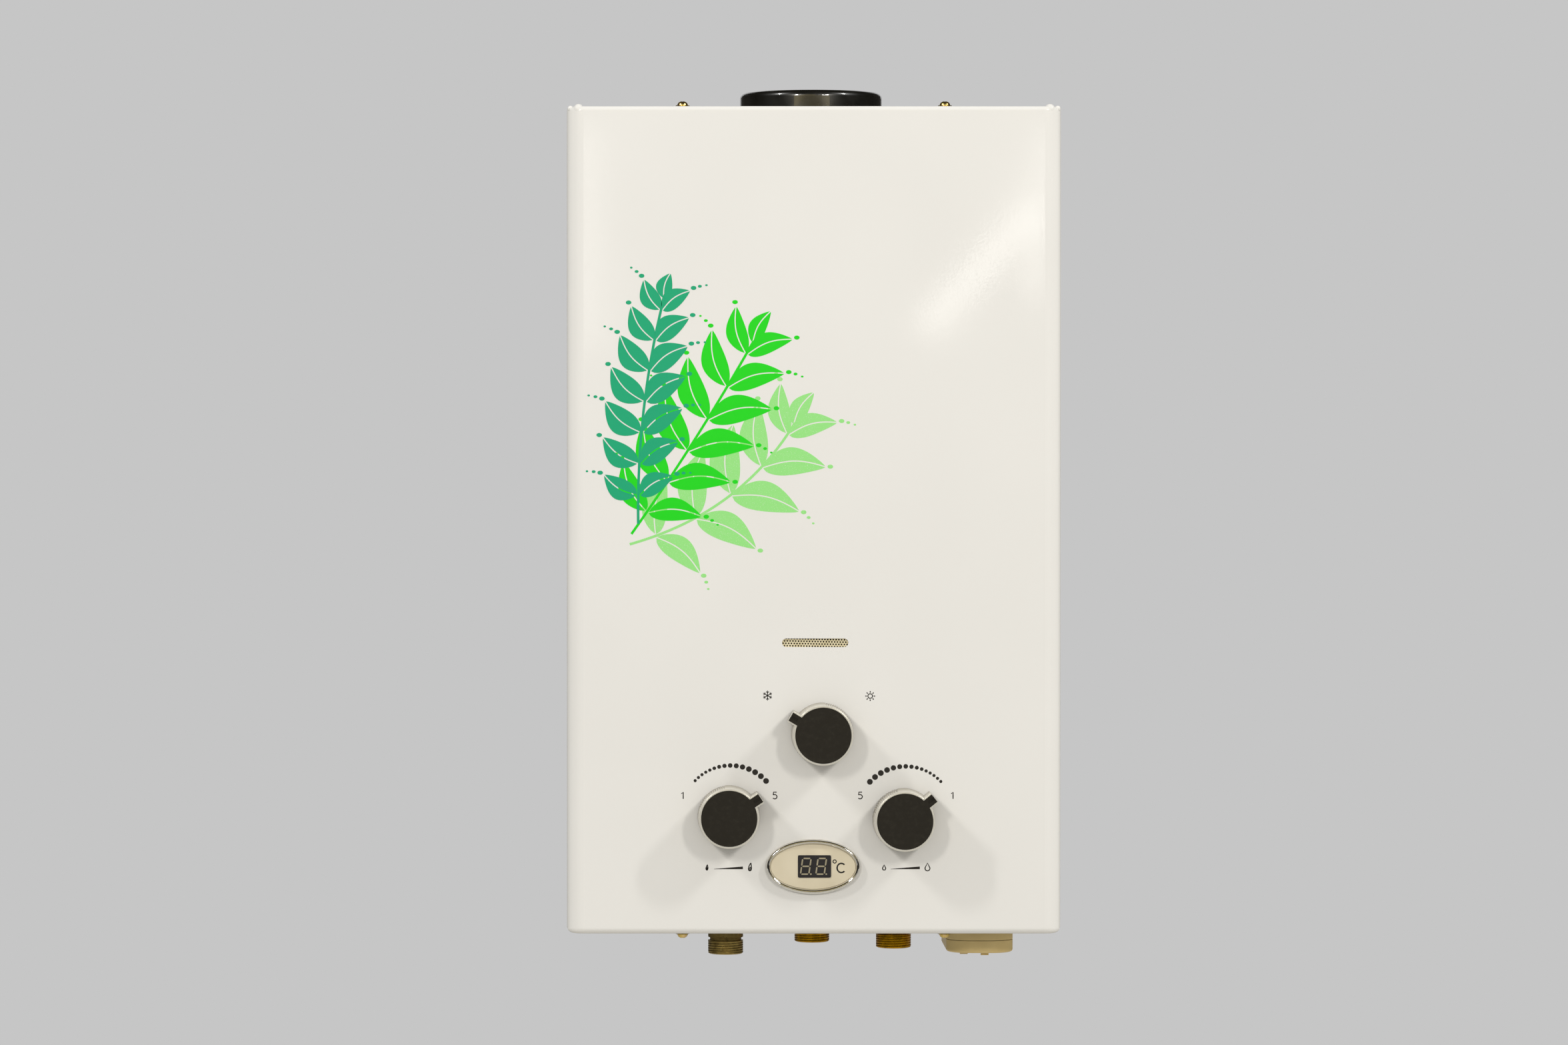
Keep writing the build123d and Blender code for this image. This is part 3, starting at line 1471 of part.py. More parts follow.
# Battery door: shallow tray that swings down on its hinge, with two finger tabs
with BuildPart() as battery_door:
    with BuildSketch(facing_up(battery_door_bottom)):
        add(battery_plan(0))
    extrude(amount=battery_door_height)
    fillet(battery_door.faces().sort_by(Axis.Z)[0].edges(), radius=moulding_round)
    with BuildSketch(facing_up(battery_door_bottom + battery_wall)):
        add(battery_plan(-battery_wall))
    extrude(amount=battery_door_height - battery_wall, mode=Mode.SUBTRACT)
    for place in tab_places:
        with BuildSketch(facing_up(battery_door_bottom - tab_drop)):
            with Locations(place):
                RectangleRounded(tab_width, tab_thickness, tab_round)
        extrude(amount=tab_drop + battery_wall / 2)
    with BuildSketch(facing_right(battery_x - hinge_door_width / 2)):
        with Locations((hinge_y, hinge_z)):
            Circle(hinge_knuckle_r)
        with Locations((arm_y, battery_door_top - hinge_knuckle_r / 2)):
            Rectangle(arm_length, hinge_knuckle_r)
        with Locations((hinge_y, hinge_z)):
            Circle(hinge_pin_r + fit_gap, mode=Mode.SUBTRACT)
    extrude(amount=hinge_door_width)
battery_door.part.label = "battery_door"
export_step(battery_door.part, "parts/battery_door.step")

# Steel pin of the battery door
with BuildPart() as hinge_pin:
    with BuildSketch(facing_right(battery_x - hinge_pin_length / 2)):
        with Locations((hinge_y, hinge_z)):
            Circle(hinge_pin_r)
    extrude(amount=hinge_pin_length)
hinge_pin.part.label = "hinge_pin"
export_step(hinge_pin.part, "parts/hinge_pin.step")

# Two large round cells side by side, one turned over
cell_spread = cell_r + cell_side_gap
with BuildPart() as battery_cells:
    for side in (-1, 1):
        cell_y = battery_y + side * cell_spread
        body_bottom = cell_bottom if side < 0 else cell_bottom + cell_nub_height
        nub_bottom = cell_top - cell_nub_height if side < 0 else cell_bottom
        with BuildSketch(facing_up(body_bottom)):
            with Locations((battery_x, cell_y)):
                Circle(cell_r)
        extrude(amount=cell_length - cell_nub_height)
        with BuildSketch(facing_up(nub_bottom)):
            with Locations((battery_x, cell_y)):
                Circle(cell_nub_r)
        extrude(amount=cell_nub_height)
battery_cells.part.label = "battery_cells"
export_step(battery_cells.part, "parts/battery_cells.step")

# Contact discs in the top of the holder
with BuildPart() as battery_contacts:
    with BuildSketch(facing_up(battery_ceiling - contact_thickness)):
        with Locations(
            (battery_x, battery_y - cell_spread), (battery_x, battery_y + cell_spread)
        ):
            Circle(contact_r)
    extrude(amount=contact_thickness)
battery_contacts.part.label = "battery_contacts"
export_step(battery_contacts.part, "parts/battery_contacts.step")

# Contact bridge in the door, with a bent leaf under each cell
with BuildPart() as door_contact:
    bridge_bottom = battery_door_bottom + battery_wall
    bridge_top = bridge_bottom + leaf_sheet
    leaf_top = cell_bottom - cell_gap
    with BuildSketch(facing_up(bridge_bottom)):
        with Locations((battery_x, battery_y)):
            Rectangle(leaf_width, 2 * cell_spread + leaf_width)
    extrude(amount=leaf_sheet)
    with BuildSketch(facing_right(battery_x - leaf_width / 2)):
        for side in (-1, 1):
            start_y = battery_y + side * (cell_spread + leaf_width / 2)
            crest_y = battery_y + side * cell_spread
            end_y = crest_y - side * leaf_width / 2
            with BuildLine():
                Polyline(
                    (start_y, bridge_bottom),
                    (start_y, bridge_top),
                    (crest_y, leaf_top),
                    (end_y, leaf_top - leaf_sheet),
                    (end_y, leaf_top - 2 * leaf_sheet),
                    (crest_y, leaf_top - leaf_sheet),
                    (start_y - side * leaf_sheet, bridge_bottom),
                    close=True,
                )
            make_face()
    extrude(amount=leaf_width)
door_contact.part.label = "door_contact"
export_step(door_contact.part, "parts/door_contact.step")

# Chrome oval ring round the display, with a skirt through the front panel
inner_rx = bezel_inner_width / 2
inner_rz = bezel_inner_height / 2
with BuildPart() as display_bezel:
    with BuildSketch(facing_front(panel_face)):
        with Locations((display_x, display_z)):
            Ellipse(bezel_width / 2, bezel_height / 2)
            Ellipse(inner_rx, inner_rz, mode=Mode.SUBTRACT)
    extrude(amount=bezel_rise)
    fillet(display_bezel.faces().sort_by(Axis.Y)[0].edges(), radius=bezel_round)
    with BuildSketch(facing_front(panel_face + bezel_skirt_length)):
        with Locations((display_x, display_z)):
            Ellipse(inner_rx + bezel_skirt_wall, inner_rz + bezel_skirt_wall)
            Ellipse(inner_rx, inner_rz, mode=Mode.SUBTRACT)
    extrude(amount=bezel_skirt_length)
display_bezel.part.label = "display_bezel"
export_step(display_bezel.part, "parts/display_bezel.step")

# Oval plate inside the ring, with the window of the digits and two posts for the board
window_x = display_x + window_offset_x
window_z = display_z + window_offset_z
plate_face = panel_face - plate_rise
board_front = board_back_y - board_thickness
with BuildPart() as display_plate:
    with BuildSketch(facing_front(plate_face + plate_thickness)):
        with Locations((display_x, display_z)):
            Ellipse(inner_rx - fit_gap, inner_rz - fit_gap)
        with Locations((window_x, window_z)):
            Rectangle(led_width + 2 * fit_gap, led_height + 2 * fit_gap, mode=Mode.SUBTRACT)
    extrude(amount=plate_thickness)
    with BuildSketch(facing_front(board_front)):
        with Locations((display_x - post_spread, display_z), (display_x + post_spread, display_z)):
            Circle(post_r)
    extrude(amount=board_front - plate_face - plate_thickness / 2)
display_plate.part.label = "display_plate"
export_step(display_plate.part, "parts/display_plate.step")

# Two-digit module standing on the board and showing through the plate
with BuildPart() as digit_module:
    with BuildSketch(facing_front(board_front)):
        with Locations((window_x, window_z)):
            RectangleRounded(led_width, led_height, led_corner)
    extrude(amount=board_front - plate_face + led_rise)
digit_module.part.label = "digit_module"
export_step(digit_module.part, "parts/digit_module.step")

# Circuit board of the display
with BuildPart() as display_board:
    with BuildSketch(facing_front(board_back_y)):
        with Locations((display_x, display_z)):
            RectangleRounded(board_width, board_height, led_corner)
    extrude(amount=board_thickness)
display_board.part.label = "display_board"
export_step(display_board.part, "parts/display_board.step")

# Temperature sensor clipped round the hot pipe
with BuildPart() as temperature_sensor:
    with BuildSketch(facing_up(sensor_clip_z - sensor_clip_height / 2)):
        with Locations((hot_outlet_x, hot_outlet_y)):
            Circle(sensor_clip_r)
            Circle(pipe_r + fit_gap, mode=Mode.SUBTRACT)
    extrude(amount=sensor_clip_height)
    with BuildSketch(facing_front(hot_outlet_y - sensor_clip_r + sensor_probe_root)):
        with Locations((hot_outlet_x, sensor_clip_z)):
            Circle(sensor_probe_r)
    extrude(amount=sensor_probe_length)
temperature_sensor.part.label = "temperature_sensor"
export_step(temperature_sensor.part, "parts/temperature_sensor.step")

# Insulated leads from the control box to the spark electrode and the flame sensor
socket_y = controller_front - lead_socket_length
with BuildPart() as electrode_leads:
    for start_x, start_z, end_x, end_y in (
        (ignition_lead_x, ignition_lead_z, electrode_x, electrode_y),
        (sensor_lead_x, sensor_lead_z, sensor_x, sensor_y),
    ):
        with BuildLine() as lead_path:
            FilletPolyline(
                (start_x, socket_y, start_z),
                (start_x, end_y, start_z),
                (start_x, end_y, lead_level),
                (end_x, end_y, lead_level),
                (end_x, end_y, ceramic_bottom),
                radius=(lead_bend, lead_bend, lead_end_bend),
            )
        with BuildSketch(facing_front(socket_y)):
            with Locations((start_x, start_z)):
                Circle(lead_r)
        sweep(path=lead_path.wires()[0])
electrode_leads.part.label = "electrode_leads"
export_step(electrode_leads.part, "parts/electrode_leads.step")

# Thin leads of the battery, the solenoid, the switch, the display and the temperature sensor
controller_right = controller_x + controller_width / 2
switch_left_x = switch_right_x - switch_length
switch_middle_z = (switch_top + switch_bottom) / 2
probe_end = hot_outlet_y - sensor_clip_r + sensor_probe_root - sensor_probe_length
temperature_lead_z = sensor_clip_z - temperature_lead_drop
lead_routes = (
    (
        (battery_x, battery_back, battery_lead_z),
        (battery_x, battery_lead_y, battery_lead_z),
        (controller_right, battery_lead_y, battery_lead_z),
    ),
    (
        (solenoid_lead_x, controller_front, solenoid_lead_z),
        (solenoid_lead_x, valve_y, solenoid_lead_z),
        (solenoid_lead_x, valve_y, rod_z),
        (solenoid_left, valve_y, rod_z),
    ),
    (
        (controller_right, switch_lead_y, switch_lead_z),
        (switch_lead_x, switch_lead_y, switch_lead_z),
        (switch_lead_x, switch_lead_y, switch_middle_z),
        (switch_lead_x, valve_y, switch_middle_z),
        (switch_left_x, valve_y, switch_middle_z),
    ),
    (
        (display_lead_x, controller_front, display_lead_z),
        (display_lead_x, display_lead_y, display_lead_z),
        (display_lead_end_x, display_lead_y, display_lead_z),
        (display_lead_end_x, board_back_y, display_lead_z),
    ),
    (
        (hot_outlet_x, probe_end, sensor_clip_z),
        (hot_outlet_x, temperature_lead_y, sensor_clip_z),
        (hot_outlet_x, temperature_lead_y - 2 * thin_lead_bend, temperature_lead_z),
        (hot_outlet_x, board_back_y, temperature_lead_z),
    ),
)
with BuildPart() as signal_leads:
    for points in lead_routes:
        bends = [thin_lead_bend] * (len(points) - 3) + [thin_lead_end_bend]
        with BuildLine() as thin_path:
            route = FilletPolyline(*points, radius=bends)
        with BuildSketch(Plane(origin=route @ 0, z_dir=route % 0)):
            Circle(thin_lead_r)
        sweep(path=thin_path.wires()[0])
signal_leads.part.label = "signal_leads"
export_step(signal_leads.part, "parts/signal_leads.step")

# Three knobs, each with a black cap and its valve spindle, turned to their pointers
knobs = (
    ("season", season_x, season_z, season_pointer, season_boss_front, season_bore_depth,
     season_spool_r),
    ("gas", gas_knob_x, gas_knob_z, gas_pointer, boss_front, spool_length, spool_r),
    ("water", water_knob_x, water_knob_z, water_pointer, boss_front, spool_length, spool_r),
)
knob_back = panel_face - knob_gap
knob_face = knob_back - knob_height
for name, x, z, pointer, valve_face, spindle_depth, spindle_r in knobs:
    along = (cos(radians(pointer)), 0, sin(radians(pointer)))

    def knob_plane(y):
        """Plane facing the viewer at depth y, its local x along the pointer."""
        return Plane(origin=(x, y, z), x_dir=along, z_dir=(0, -1, 0))

    with BuildPart() as knob:
        with BuildSketch(knob_plane(knob_back)):
            Circle(knob_base_r)
        with BuildSketch(knob_plane(knob_face)):
            Circle(knob_face_r)
        loft()
        with BuildSketch(knob_plane(knob_back)):
            with Locations((pointer_reach / 2, 0)):
                Rectangle(pointer_reach, pointer_width + 2 * pointer_wall)
        extrude(amount=knob_height)
        with BuildSketch(knob_plane(knob_back)):
            Circle(knob_face_r - knob_wall)
        extrude(amount=knob_height - cap_recess - knob_web, mode=Mode.SUBTRACT)
        with BuildSketch(knob_plane(knob_back)):
            Circle(knob_hub_r)
        extrude(amount=knob_height - cap_recess - knob_web)
        with BuildSketch(knob_plane(knob_back)):
            Circle(shaft_r + fit_gap)
            with Locations((shaft_flat + fit_gap + shaft_r, 0)):
                Rectangle(2 * shaft_r, 4 * shaft_r, mode=Mode.SUBTRACT)
        extrude(amount=knob_hub_length, mode=Mode.SUBTRACT)
        with BuildSketch(knob_plane(knob_face + cap_recess)):
            Circle(cap_r + cap_gap)
            with Locations((pointer_reach / 2, 0)):
                Rectangle(pointer_reach, pointer_width + 2 * cap_gap)
        extrude(amount=cap_recess, mode=Mode.SUBTRACT)
    knob.part.label = f"{name}_knob"
    export_step(knob.part, f"parts/{name}_knob.step")

    with BuildPart() as cap:
        with BuildSketch(knob_plane(knob_face + cap_recess)):
            Circle(cap_r)
            with Locations((pointer_reach / 2, 0)):
                Rectangle(pointer_reach, pointer_width)
        extrude(amount=cap_thickness)
        with BuildSketch(knob_plane(knob_face + cap_recess - cap_thickness + groove_depth)):
            with Locations(((groove_start + pointer_reach) / 2, 0)):
                Rectangle(pointer_reach - groove_start - 2 * groove_end_wall, groove_width)
        extrude(amount=groove_depth, mode=Mode.SUBTRACT)
    cap.part.label = f"{name}_knob_cap"
    export_step(cap.part, f"parts/{name}_knob_cap.step")

    shaft_tip = knob_back - knob_hub_length + fit_gap
    with BuildPart() as spindle:
        with BuildSketch(knob_plane(valve_face + spindle_depth - spool_end_gap)):
            Circle(spindle_r)
        extrude(amount=spindle_depth - spool_end_gap)
        with BuildSketch(knob_plane(valve_face)):
            Circle(shaft_r)
        extrude(amount=valve_face - knob_back)
        with BuildSketch(knob_plane(knob_back)):
            Circle(shaft_r)
            with Locations((shaft_flat + shaft_r, 0)):
                Rectangle(2 * shaft_r, 4 * shaft_r, mode=Mode.SUBTRACT)
        extrude(amount=knob_back - shaft_tip)
    spindle.part.label = f"{name}_spindle"
    export_step(spindle.part, f"parts/{name}_spindle.step")
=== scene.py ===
"""Looks of the wall-hung gas water heater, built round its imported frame. Sizes are in metres."""

import json
import math

import bmesh
import bpy
import numpy as np
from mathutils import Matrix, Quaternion, Vector


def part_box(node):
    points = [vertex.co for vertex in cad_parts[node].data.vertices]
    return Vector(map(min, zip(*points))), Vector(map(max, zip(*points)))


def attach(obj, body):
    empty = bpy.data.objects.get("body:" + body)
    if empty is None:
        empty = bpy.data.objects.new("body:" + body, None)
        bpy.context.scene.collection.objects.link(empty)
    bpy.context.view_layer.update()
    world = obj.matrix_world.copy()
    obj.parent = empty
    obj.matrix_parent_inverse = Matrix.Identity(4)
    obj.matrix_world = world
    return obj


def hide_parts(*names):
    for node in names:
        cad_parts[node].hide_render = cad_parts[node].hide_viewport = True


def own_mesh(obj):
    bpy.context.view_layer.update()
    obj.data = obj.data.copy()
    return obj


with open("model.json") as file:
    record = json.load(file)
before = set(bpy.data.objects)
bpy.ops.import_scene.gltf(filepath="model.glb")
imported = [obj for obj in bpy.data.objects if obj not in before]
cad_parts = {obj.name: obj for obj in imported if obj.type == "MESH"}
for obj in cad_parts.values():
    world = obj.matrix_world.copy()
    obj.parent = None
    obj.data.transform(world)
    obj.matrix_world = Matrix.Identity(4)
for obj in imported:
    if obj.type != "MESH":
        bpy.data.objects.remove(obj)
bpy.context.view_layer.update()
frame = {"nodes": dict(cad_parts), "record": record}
nodes = frame["nodes"]

MM = 0.001


# Places read from the frame


def ends(node):
    """Lowest and highest corner of a node's box, as arrays."""
    return [np.array(corner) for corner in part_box(node)]


def middle(node):
    """Middle of a node's box, as an array."""
    return sum(ends(node)) / 2


panel_y, underside_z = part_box("front_cover")[0][1:]
plate_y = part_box("display_plate")[0][1]
window_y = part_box("digit_module")[0][1]


# Node graphs of the finishes

# Inputs and output of a Mix node when it mixes colours
MIX_SHARE, MIX_FIRST, MIX_SECOND = 0, 6, 7
MIX_RESULT = 2
# Pointiness of a flat surface
FLAT = 0.5
# Where most values of a cloudy pattern lie
USUAL_CLOUD = (0.3, 0.7)


def colour(red, green, blue):
    """A colour written as it looks on screen from 0 to 255, turned into linear light."""
    shown = np.array([red, green, blue]) / 255
    linear = np.where(shown <= 0.04045, shown / 12.92, ((shown + 0.055) / 1.055) ** 2.4)
    return (*linear.tolist(), 1.0)


class Finish:
    """One material and the nodes that make its detail."""

    def __init__(self, name, roughness, metallic=0.0, ior=1.5, coat=0.0, coat_roughness=0.05):
        self.material = bpy.data.materials.new(name)
        self.material.use_nodes = True
        self.tree = self.material.node_tree
        self.shader = self.tree.nodes["Principled BSDF"]
        self.set_inputs(
            self.shader,
            {
                "Roughness": roughness,
                "Metallic": metallic,
                "IOR": ior,
                "Coat Weight": coat,
                "Coat Roughness": coat_roughness,
            },
        )
        self.place = self.add("ShaderNodeTexCoord").outputs["Object"]

    def set_inputs(self, node, values):
        """Sets each named input, or links it when its value is another node's output."""
        for key, value in values.items():
            if isinstance(value, bpy.types.NodeSocket):
                self.tree.links.new(value, node.inputs[key])
            else:
                node.inputs[key].default_value = value

    def add(self, kind, inputs=None, **settings):
        """Adds a node of a kind with its settings and inputs."""
        node = self.tree.nodes.new(kind)
        for key, value in settings.items():
            setattr(node, key, value)
        self.set_inputs(node, inputs or {})
        return node

    def scaled(self, size, stretch=(1, 1, 1)):
        """Places divided by a pattern's size, which is drawn out along an axis by stretch."""
        scale = [1 / (size * share) for share in stretch]
        mapping = self.add("ShaderNodeMapping", {"Vector": self.place, "Scale": scale})
        return mapping.outputs["Vector"]

    def noise(self, size, detail=2.0, stretch=(1, 1, 1), rough=0.5):
        """Cloudy pattern whose patches are about size across."""
        values = {"Scale": 1.0, "Detail": detail, "Roughness": rough}
        values["Vector"] = self.scaled(size, stretch)
        return self.add("ShaderNodeTexNoise", values).outputs["Fac"]

    def cells(self, size):
        """Pattern of irregular cells about size across: a grey for each cell."""
        pattern = self.add("ShaderNodeTexVoronoi", {"Vector": self.scaled(size), "Scale": 1.0})
        parts = self.add("ShaderNodeSeparateColor", {"Color": pattern.outputs["Color"]})
        return parts.outputs["Red"]

    def spread(self, value, low, high, to_low, to_high):
        """A pattern's values from low to high carried to a new range, and held at its ends."""
        values = {"Value": value, "From Min": low, "From Max": high}
        values.update({"To Min": to_low, "To Max": to_high})
        return self.add("ShaderNodeMapRange", values).outputs["Result"]

    def vary(self, cloud, to_low=0.0, to_high=1.0):
        """A cloudy pattern's usual values carried to a new range."""
        return self.spread(cloud, *USUAL_CLOUD, to_low, to_high)

    def blend(self, share, first, second):
        """Two colours mixed by a share, through the inputs and the output for colours."""
        values = {MIX_SHARE: share, MIX_FIRST: first, MIX_SECOND: second}
        return self.add("ShaderNodeMix", values, data_type="RGBA").outputs[MIX_RESULT]

    def relief(self, height, depth):
        """Bump whose height pattern is depth high."""
        values = {"Height": height, "Distance": depth, "Strength": 1.0}
        return self.add("ShaderNodeBump", values).outputs["Normal"]

    def wear(self, share):
        """Light on the outer edges and dark in the corners, from how pointed the surface is."""
        pointed = self.add("ShaderNodeNewGeometry").outputs["Pointiness"]
        return self.spread(pointed, FLAT, FLAT + share, 0.0, 1.0)

    def done(self, base=None, normal=None, roughness=None):
        """Joins the colour, bump and roughness patterns to the shader."""
        for key, value in (("Base Color", base), ("Normal", normal), ("Roughness", roughness)):
            if value is not None:
                self.set_inputs(self.shader, {key: value})
        return self.material


def plain_finish(name, light, dark, patch, rough, grain, depth, stretch=(1, 1, 1), metallic=0.0):
    """Two close colours in soft patches, roughness that follows them, and a fine grain in relief.
    The sizes of patch and grain and the depth of the grain are in millimetres."""
    made = Finish(name, rough[0], metallic=metallic)
    cloud = made.noise(patch * MM, 3.0, stretch)
    fine = made.noise(grain * MM, 2.0, stretch)
    return made.done(
        base=made.blend(made.vary(cloud), colour(*dark), colour(*light)),
        roughness=made.vary(cloud, *rough),
        normal=made.relief(fine, depth * MM),
    )


def enamel_finish():
    """Glossy off-white powder coat: soft orange-peel waves and faint wide patches."""
    made = Finish("white_enamel", 0.05)
    peel = made.noise(1.3 * MM, 0.6)
    wide = made.noise(90 * MM, 1.0)
    return made.done(
        base=made.blend(made.vary(wide), colour(234, 231, 225), colour(236, 233, 227)),
        roughness=made.vary(wide, 0.045, 0.06),
        normal=made.relief(peel, 0.006 * MM),
    )


def spangle_finish():
    """Galvanised sheet: crystal cells of slightly different greys, dull and a little rough."""
    made = Finish("galvanised_steel", 0.4, metallic=1.0)
    grey = made.cells(9 * MM)
    haze = made.noise(1.2 * MM, 3.0)
    tone = made.blend(grey, colour(158, 162, 165), colour(186, 190, 192))
    return made.done(
        base=made.blend(made.vary(haze, 0.0, 0.25), tone, colour(140, 143, 146)),
        roughness=made.spread(grey, 0.0, 1.0, 0.34, 0.52),
        normal=made.relief(haze, 0.006 * MM),
    )


def zinc_passivate_finish():
    """Yellow zinc plate: gold in two tones with faint pink clouds."""
    made = Finish("yellow_zinc_steel", 0.28, metallic=1.0)
    tone = made.spread(made.noise(1.6 * MM, 1.0), 0.35, 0.65, 0.0, 1.0)
    gold = made.blend(tone, colour(214, 186, 98), colour(232, 206, 140))
    clouds = made.spread(made.noise(2.3 * MM, 0.0), 0.55, 0.75, 0.0, 0.5)
    pink = made.blend(clouds, gold, colour(222, 184, 158))
    return made.done(base=pink, normal=made.relief(made.noise(0.4 * MM, 2.0), 0.005 * MM))


def collar_finish():
    """Glossy black vitreous enamel with soft waves and a few specks of dust."""
    made = Finish("black_enamel", 0.3, ior=1.62, coat=1.0, coat_roughness=0.035)
    wave = made.noise(9 * MM, 1.0)
    dust = made.spread(made.noise(0.6 * MM, 1.0), 0.7, 0.8, 0.0, 0.4)
    return made.done(
        base=made.blend(dust, colour(12, 11, 6), colour(56, 52, 38)),
        roughness=made.vary(wave, 0.24, 0.34),
        normal=made.relief(wave, 0.03 * MM),
    )


def turned_brass_finish(name, bright, dull, roughness):
    """Turned brass: tarnish in patches and in the roots of the thread, and fine turning marks."""
    made = Finish(name, roughness, metallic=1.0)
    tarnish = made.noise(3.5 * MM, 4.0)
    marks = made.noise(0.35 * MM, 1.0, stretch=(30, 30, 1))
    aged = made.blend(made.spread(tarnish, 0.35, 0.7, 0.0, 0.8), colour(*bright), colour(*dull))
    return made.done(
        base=made.blend(made.wear(0.06), aged, colour(*bright)),
        roughness=made.vary(tarnish, roughness, roughness + 0.2),
        normal=made.relief(marks, 0.02 * MM),
    )


def satin_black_finish():
    """Satin black moulding of the knob caps: fine grain, faint rubbed scratches and pale dust."""
    made = Finish("knob_black", 0.5, ior=1.35)
    grain = made.noise(0.35 * MM, 3.0)
    scratch = made.noise(3 * MM, 7.0, rough=0.75)
    rubbed = made.spread(scratch, 0.5, 0.72, 0.0, 0.6)
    tone = made.blend(rubbed, colour(30, 26, 18), colour(48, 44, 33))
    return made.done(
        base=made.blend(made.spread(grain, 0.68, 0.76, 0.0, 0.4), tone, colour(84, 80, 66)),
        roughness=made.spread(scratch, 0.35, 0.65, 0.45, 0.6),
        normal=made.relief(grain, 0.02 * MM),
    )


def satin_silver_finish():
    """Satin metallised plastic of the knobs: pearl flake, and painted shade that darkens the flank
    towards the panel.
    """
    made = Finish("silver_plastic", 0.3, metallic=0.35, coat=0.4, coat_roughness=0.15)
    flake = made.noise(0.3 * MM, 2.0)
    tone = made.blend(made.vary(flake), colour(214, 209, 196), colour(222, 218, 206))
    front, back = (corner[1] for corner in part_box("gas_knob"))
    depth = made.add("ShaderNodeSeparateXYZ", {"Vector": made.place}).outputs["Y"]
    # Painted shade: the knob's flank darkens towards the panel, in place of the shadow where the
    # knob meets the panel
    painted_shade = made.spread(depth, front + 3 * MM, back - 1 * MM, 0.0, 1.0)
    return made.done(
        base=made.blend(painted_shade, tone, colour(132, 122, 98)),
        roughness=made.vary(made.noise(4 * MM, 2.0), 0.28, 0.34),
        normal=made.relief(flake, 0.0015 * MM),
    )


def chrome_finish():
    """Chrome plate on plastic: mirror bright with a slight wave and fine wipe marks."""
    made = Finish("chrome_trim", 0.06, metallic=1.0)
    wave = made.noise(6 * MM, 0.0)
    wipe = made.noise(1.2 * MM, 4.0)
    marks = made.spread(wipe, 0.4, 0.8, 0.0, 0.5)
    return made.done(
        base=made.blend(marks, colour(226, 224, 218), colour(196, 192, 182)),
        roughness=made.vary(wipe, 0.04, 0.13),
        normal=made.relief(wave, 0.02 * MM),
    )


def window_finish():
    """Dark filter of the digit window, glossy with fine dust."""
    made = Finish("dark_display", 0.16, coat=0.6)
    dust = made.noise(0.5 * MM, 3.0)
    specks = made.spread(dust, 0.6, 0.8, 0.0, 0.3)
    return made.done(
        base=made.blend(specks, colour(52, 50, 50), colour(92, 90, 86)),
        roughness=made.vary(dust, 0.12, 0.22),
        normal=made.relief(made.noise(8 * MM, 0.0), 0.01 * MM),
    )


def ink_finish(name, tone, speck=0.0, paper=None):
    """Screen-printed ink: an even coat with pinholes that show what is under it."""
    made = Finish(name, 0.35, ior=1.48)
    pinholes = made.noise(0.45 * MM, 2.0)
    return made.done(
        base=made.blend(made.spread(pinholes, 0.62, 0.7, 0.0, speck), tone, paper or tone),
        roughness=made.vary(pinholes, 0.3, 0.4),
        normal=made.relief(made.noise(1.7 * MM, 0.6), 0.015 * MM),
    )


# Light and dark colour, patch size, least and most roughness, grain size, grain depth and, where
# the pattern is drawn out, its stretch along each axis
NON_METALS = {
    "cream_enamel": ((224, 212, 178), (206, 192, 152), 3, (0.4, 0.55), 0.6, 0.02),
    "fibre_seal": ((214, 209, 192), (176, 170, 152), 2, (0.85, 0.95), 0.5, 0.12),
    "black_rubber": ((44, 43, 42), (28, 27, 27), 8, (0.7, 0.85), 0.5, 0.03),
    "black_plastic": ((48, 47, 46), (33, 32, 32), 9, (0.45, 0.6), 0.6, 0.04),
    "ceramic_white": ((234, 230, 220), (214, 207, 192), 4, (0.5, 0.7), 0.5, 0.02),
    "lead_insulation": ((46, 44, 42), (28, 27, 26), 12, (0.45, 0.6), 0.5, 0.02),
    "beige_plastic": ((222, 196, 134), (210, 184, 122), 14, (0.42, 0.52), 0.7, 0.02),
    "satin_beige_plastic": ((226, 214, 187), (218, 205, 176), 22, (0.3, 0.42), 0.3, 0.006),
    "green_board": ((38, 96, 58), (24, 74, 44), 5, (0.3, 0.45), 0.7, 0.02),
}
METALS = {
    "copper": ((214, 138, 104), (150, 84, 58), 14, (0.26, 0.48), 0.7, 0.012),
    "stainless_steel": ((182, 179, 174), (150, 142, 130), 10, (0.3, 0.42), 0.4, 0.006, (12, 12, 1)),
    "cast_aluminium": ((178, 180, 182), (150, 152, 154), 6, (0.45, 0.6), 0.8, 0.07),
    "zinc_steel": ((196, 200, 206), (164, 168, 176), 3, (0.24, 0.4), 0.5, 0.006),
    "spring_steel": ((190, 188, 184), (150, 147, 142), 2, (0.22, 0.34), 0.3, 0.001),
}
CELL_SLEEVE = ((70, 74, 80), (48, 51, 56), 20, (0.3, 0.4), 0.8, 0.006)

FINISHES = {
    "white_enamel": enamel_finish(),
    "galvanised_steel": spangle_finish(),
    "yellow_zinc_steel": zinc_passivate_finish(),
    "black_enamel": collar_finish(),
    "brass": turned_brass_finish("brass", (190, 140, 18), (104, 74, 6), 0.2),
    "dull_brass": turned_brass_finish("dull_brass", (172, 148, 86), (104, 86, 46), 0.26),
    "chrome_trim": chrome_finish(),
    "dark_display": window_finish(),
    "silver_plastic": satin_silver_finish(),
    "knob_black": satin_black_finish(),
    "cell_metal": plain_finish("cell_metal", *CELL_SLEEVE, metallic=0.6),
    **{name: plain_finish(name, *look) for name, look in NON_METALS.items()},
    **{name: plain_finish(name, *look, metallic=1.0) for name, look in METALS.items()},
}

for part in frame["record"]["subparts"]:
    for slot in nodes[part["node"]].material_slots:
        slot.material = FINISHES[part["material_slot"]]


# Meshes worked out as arrays


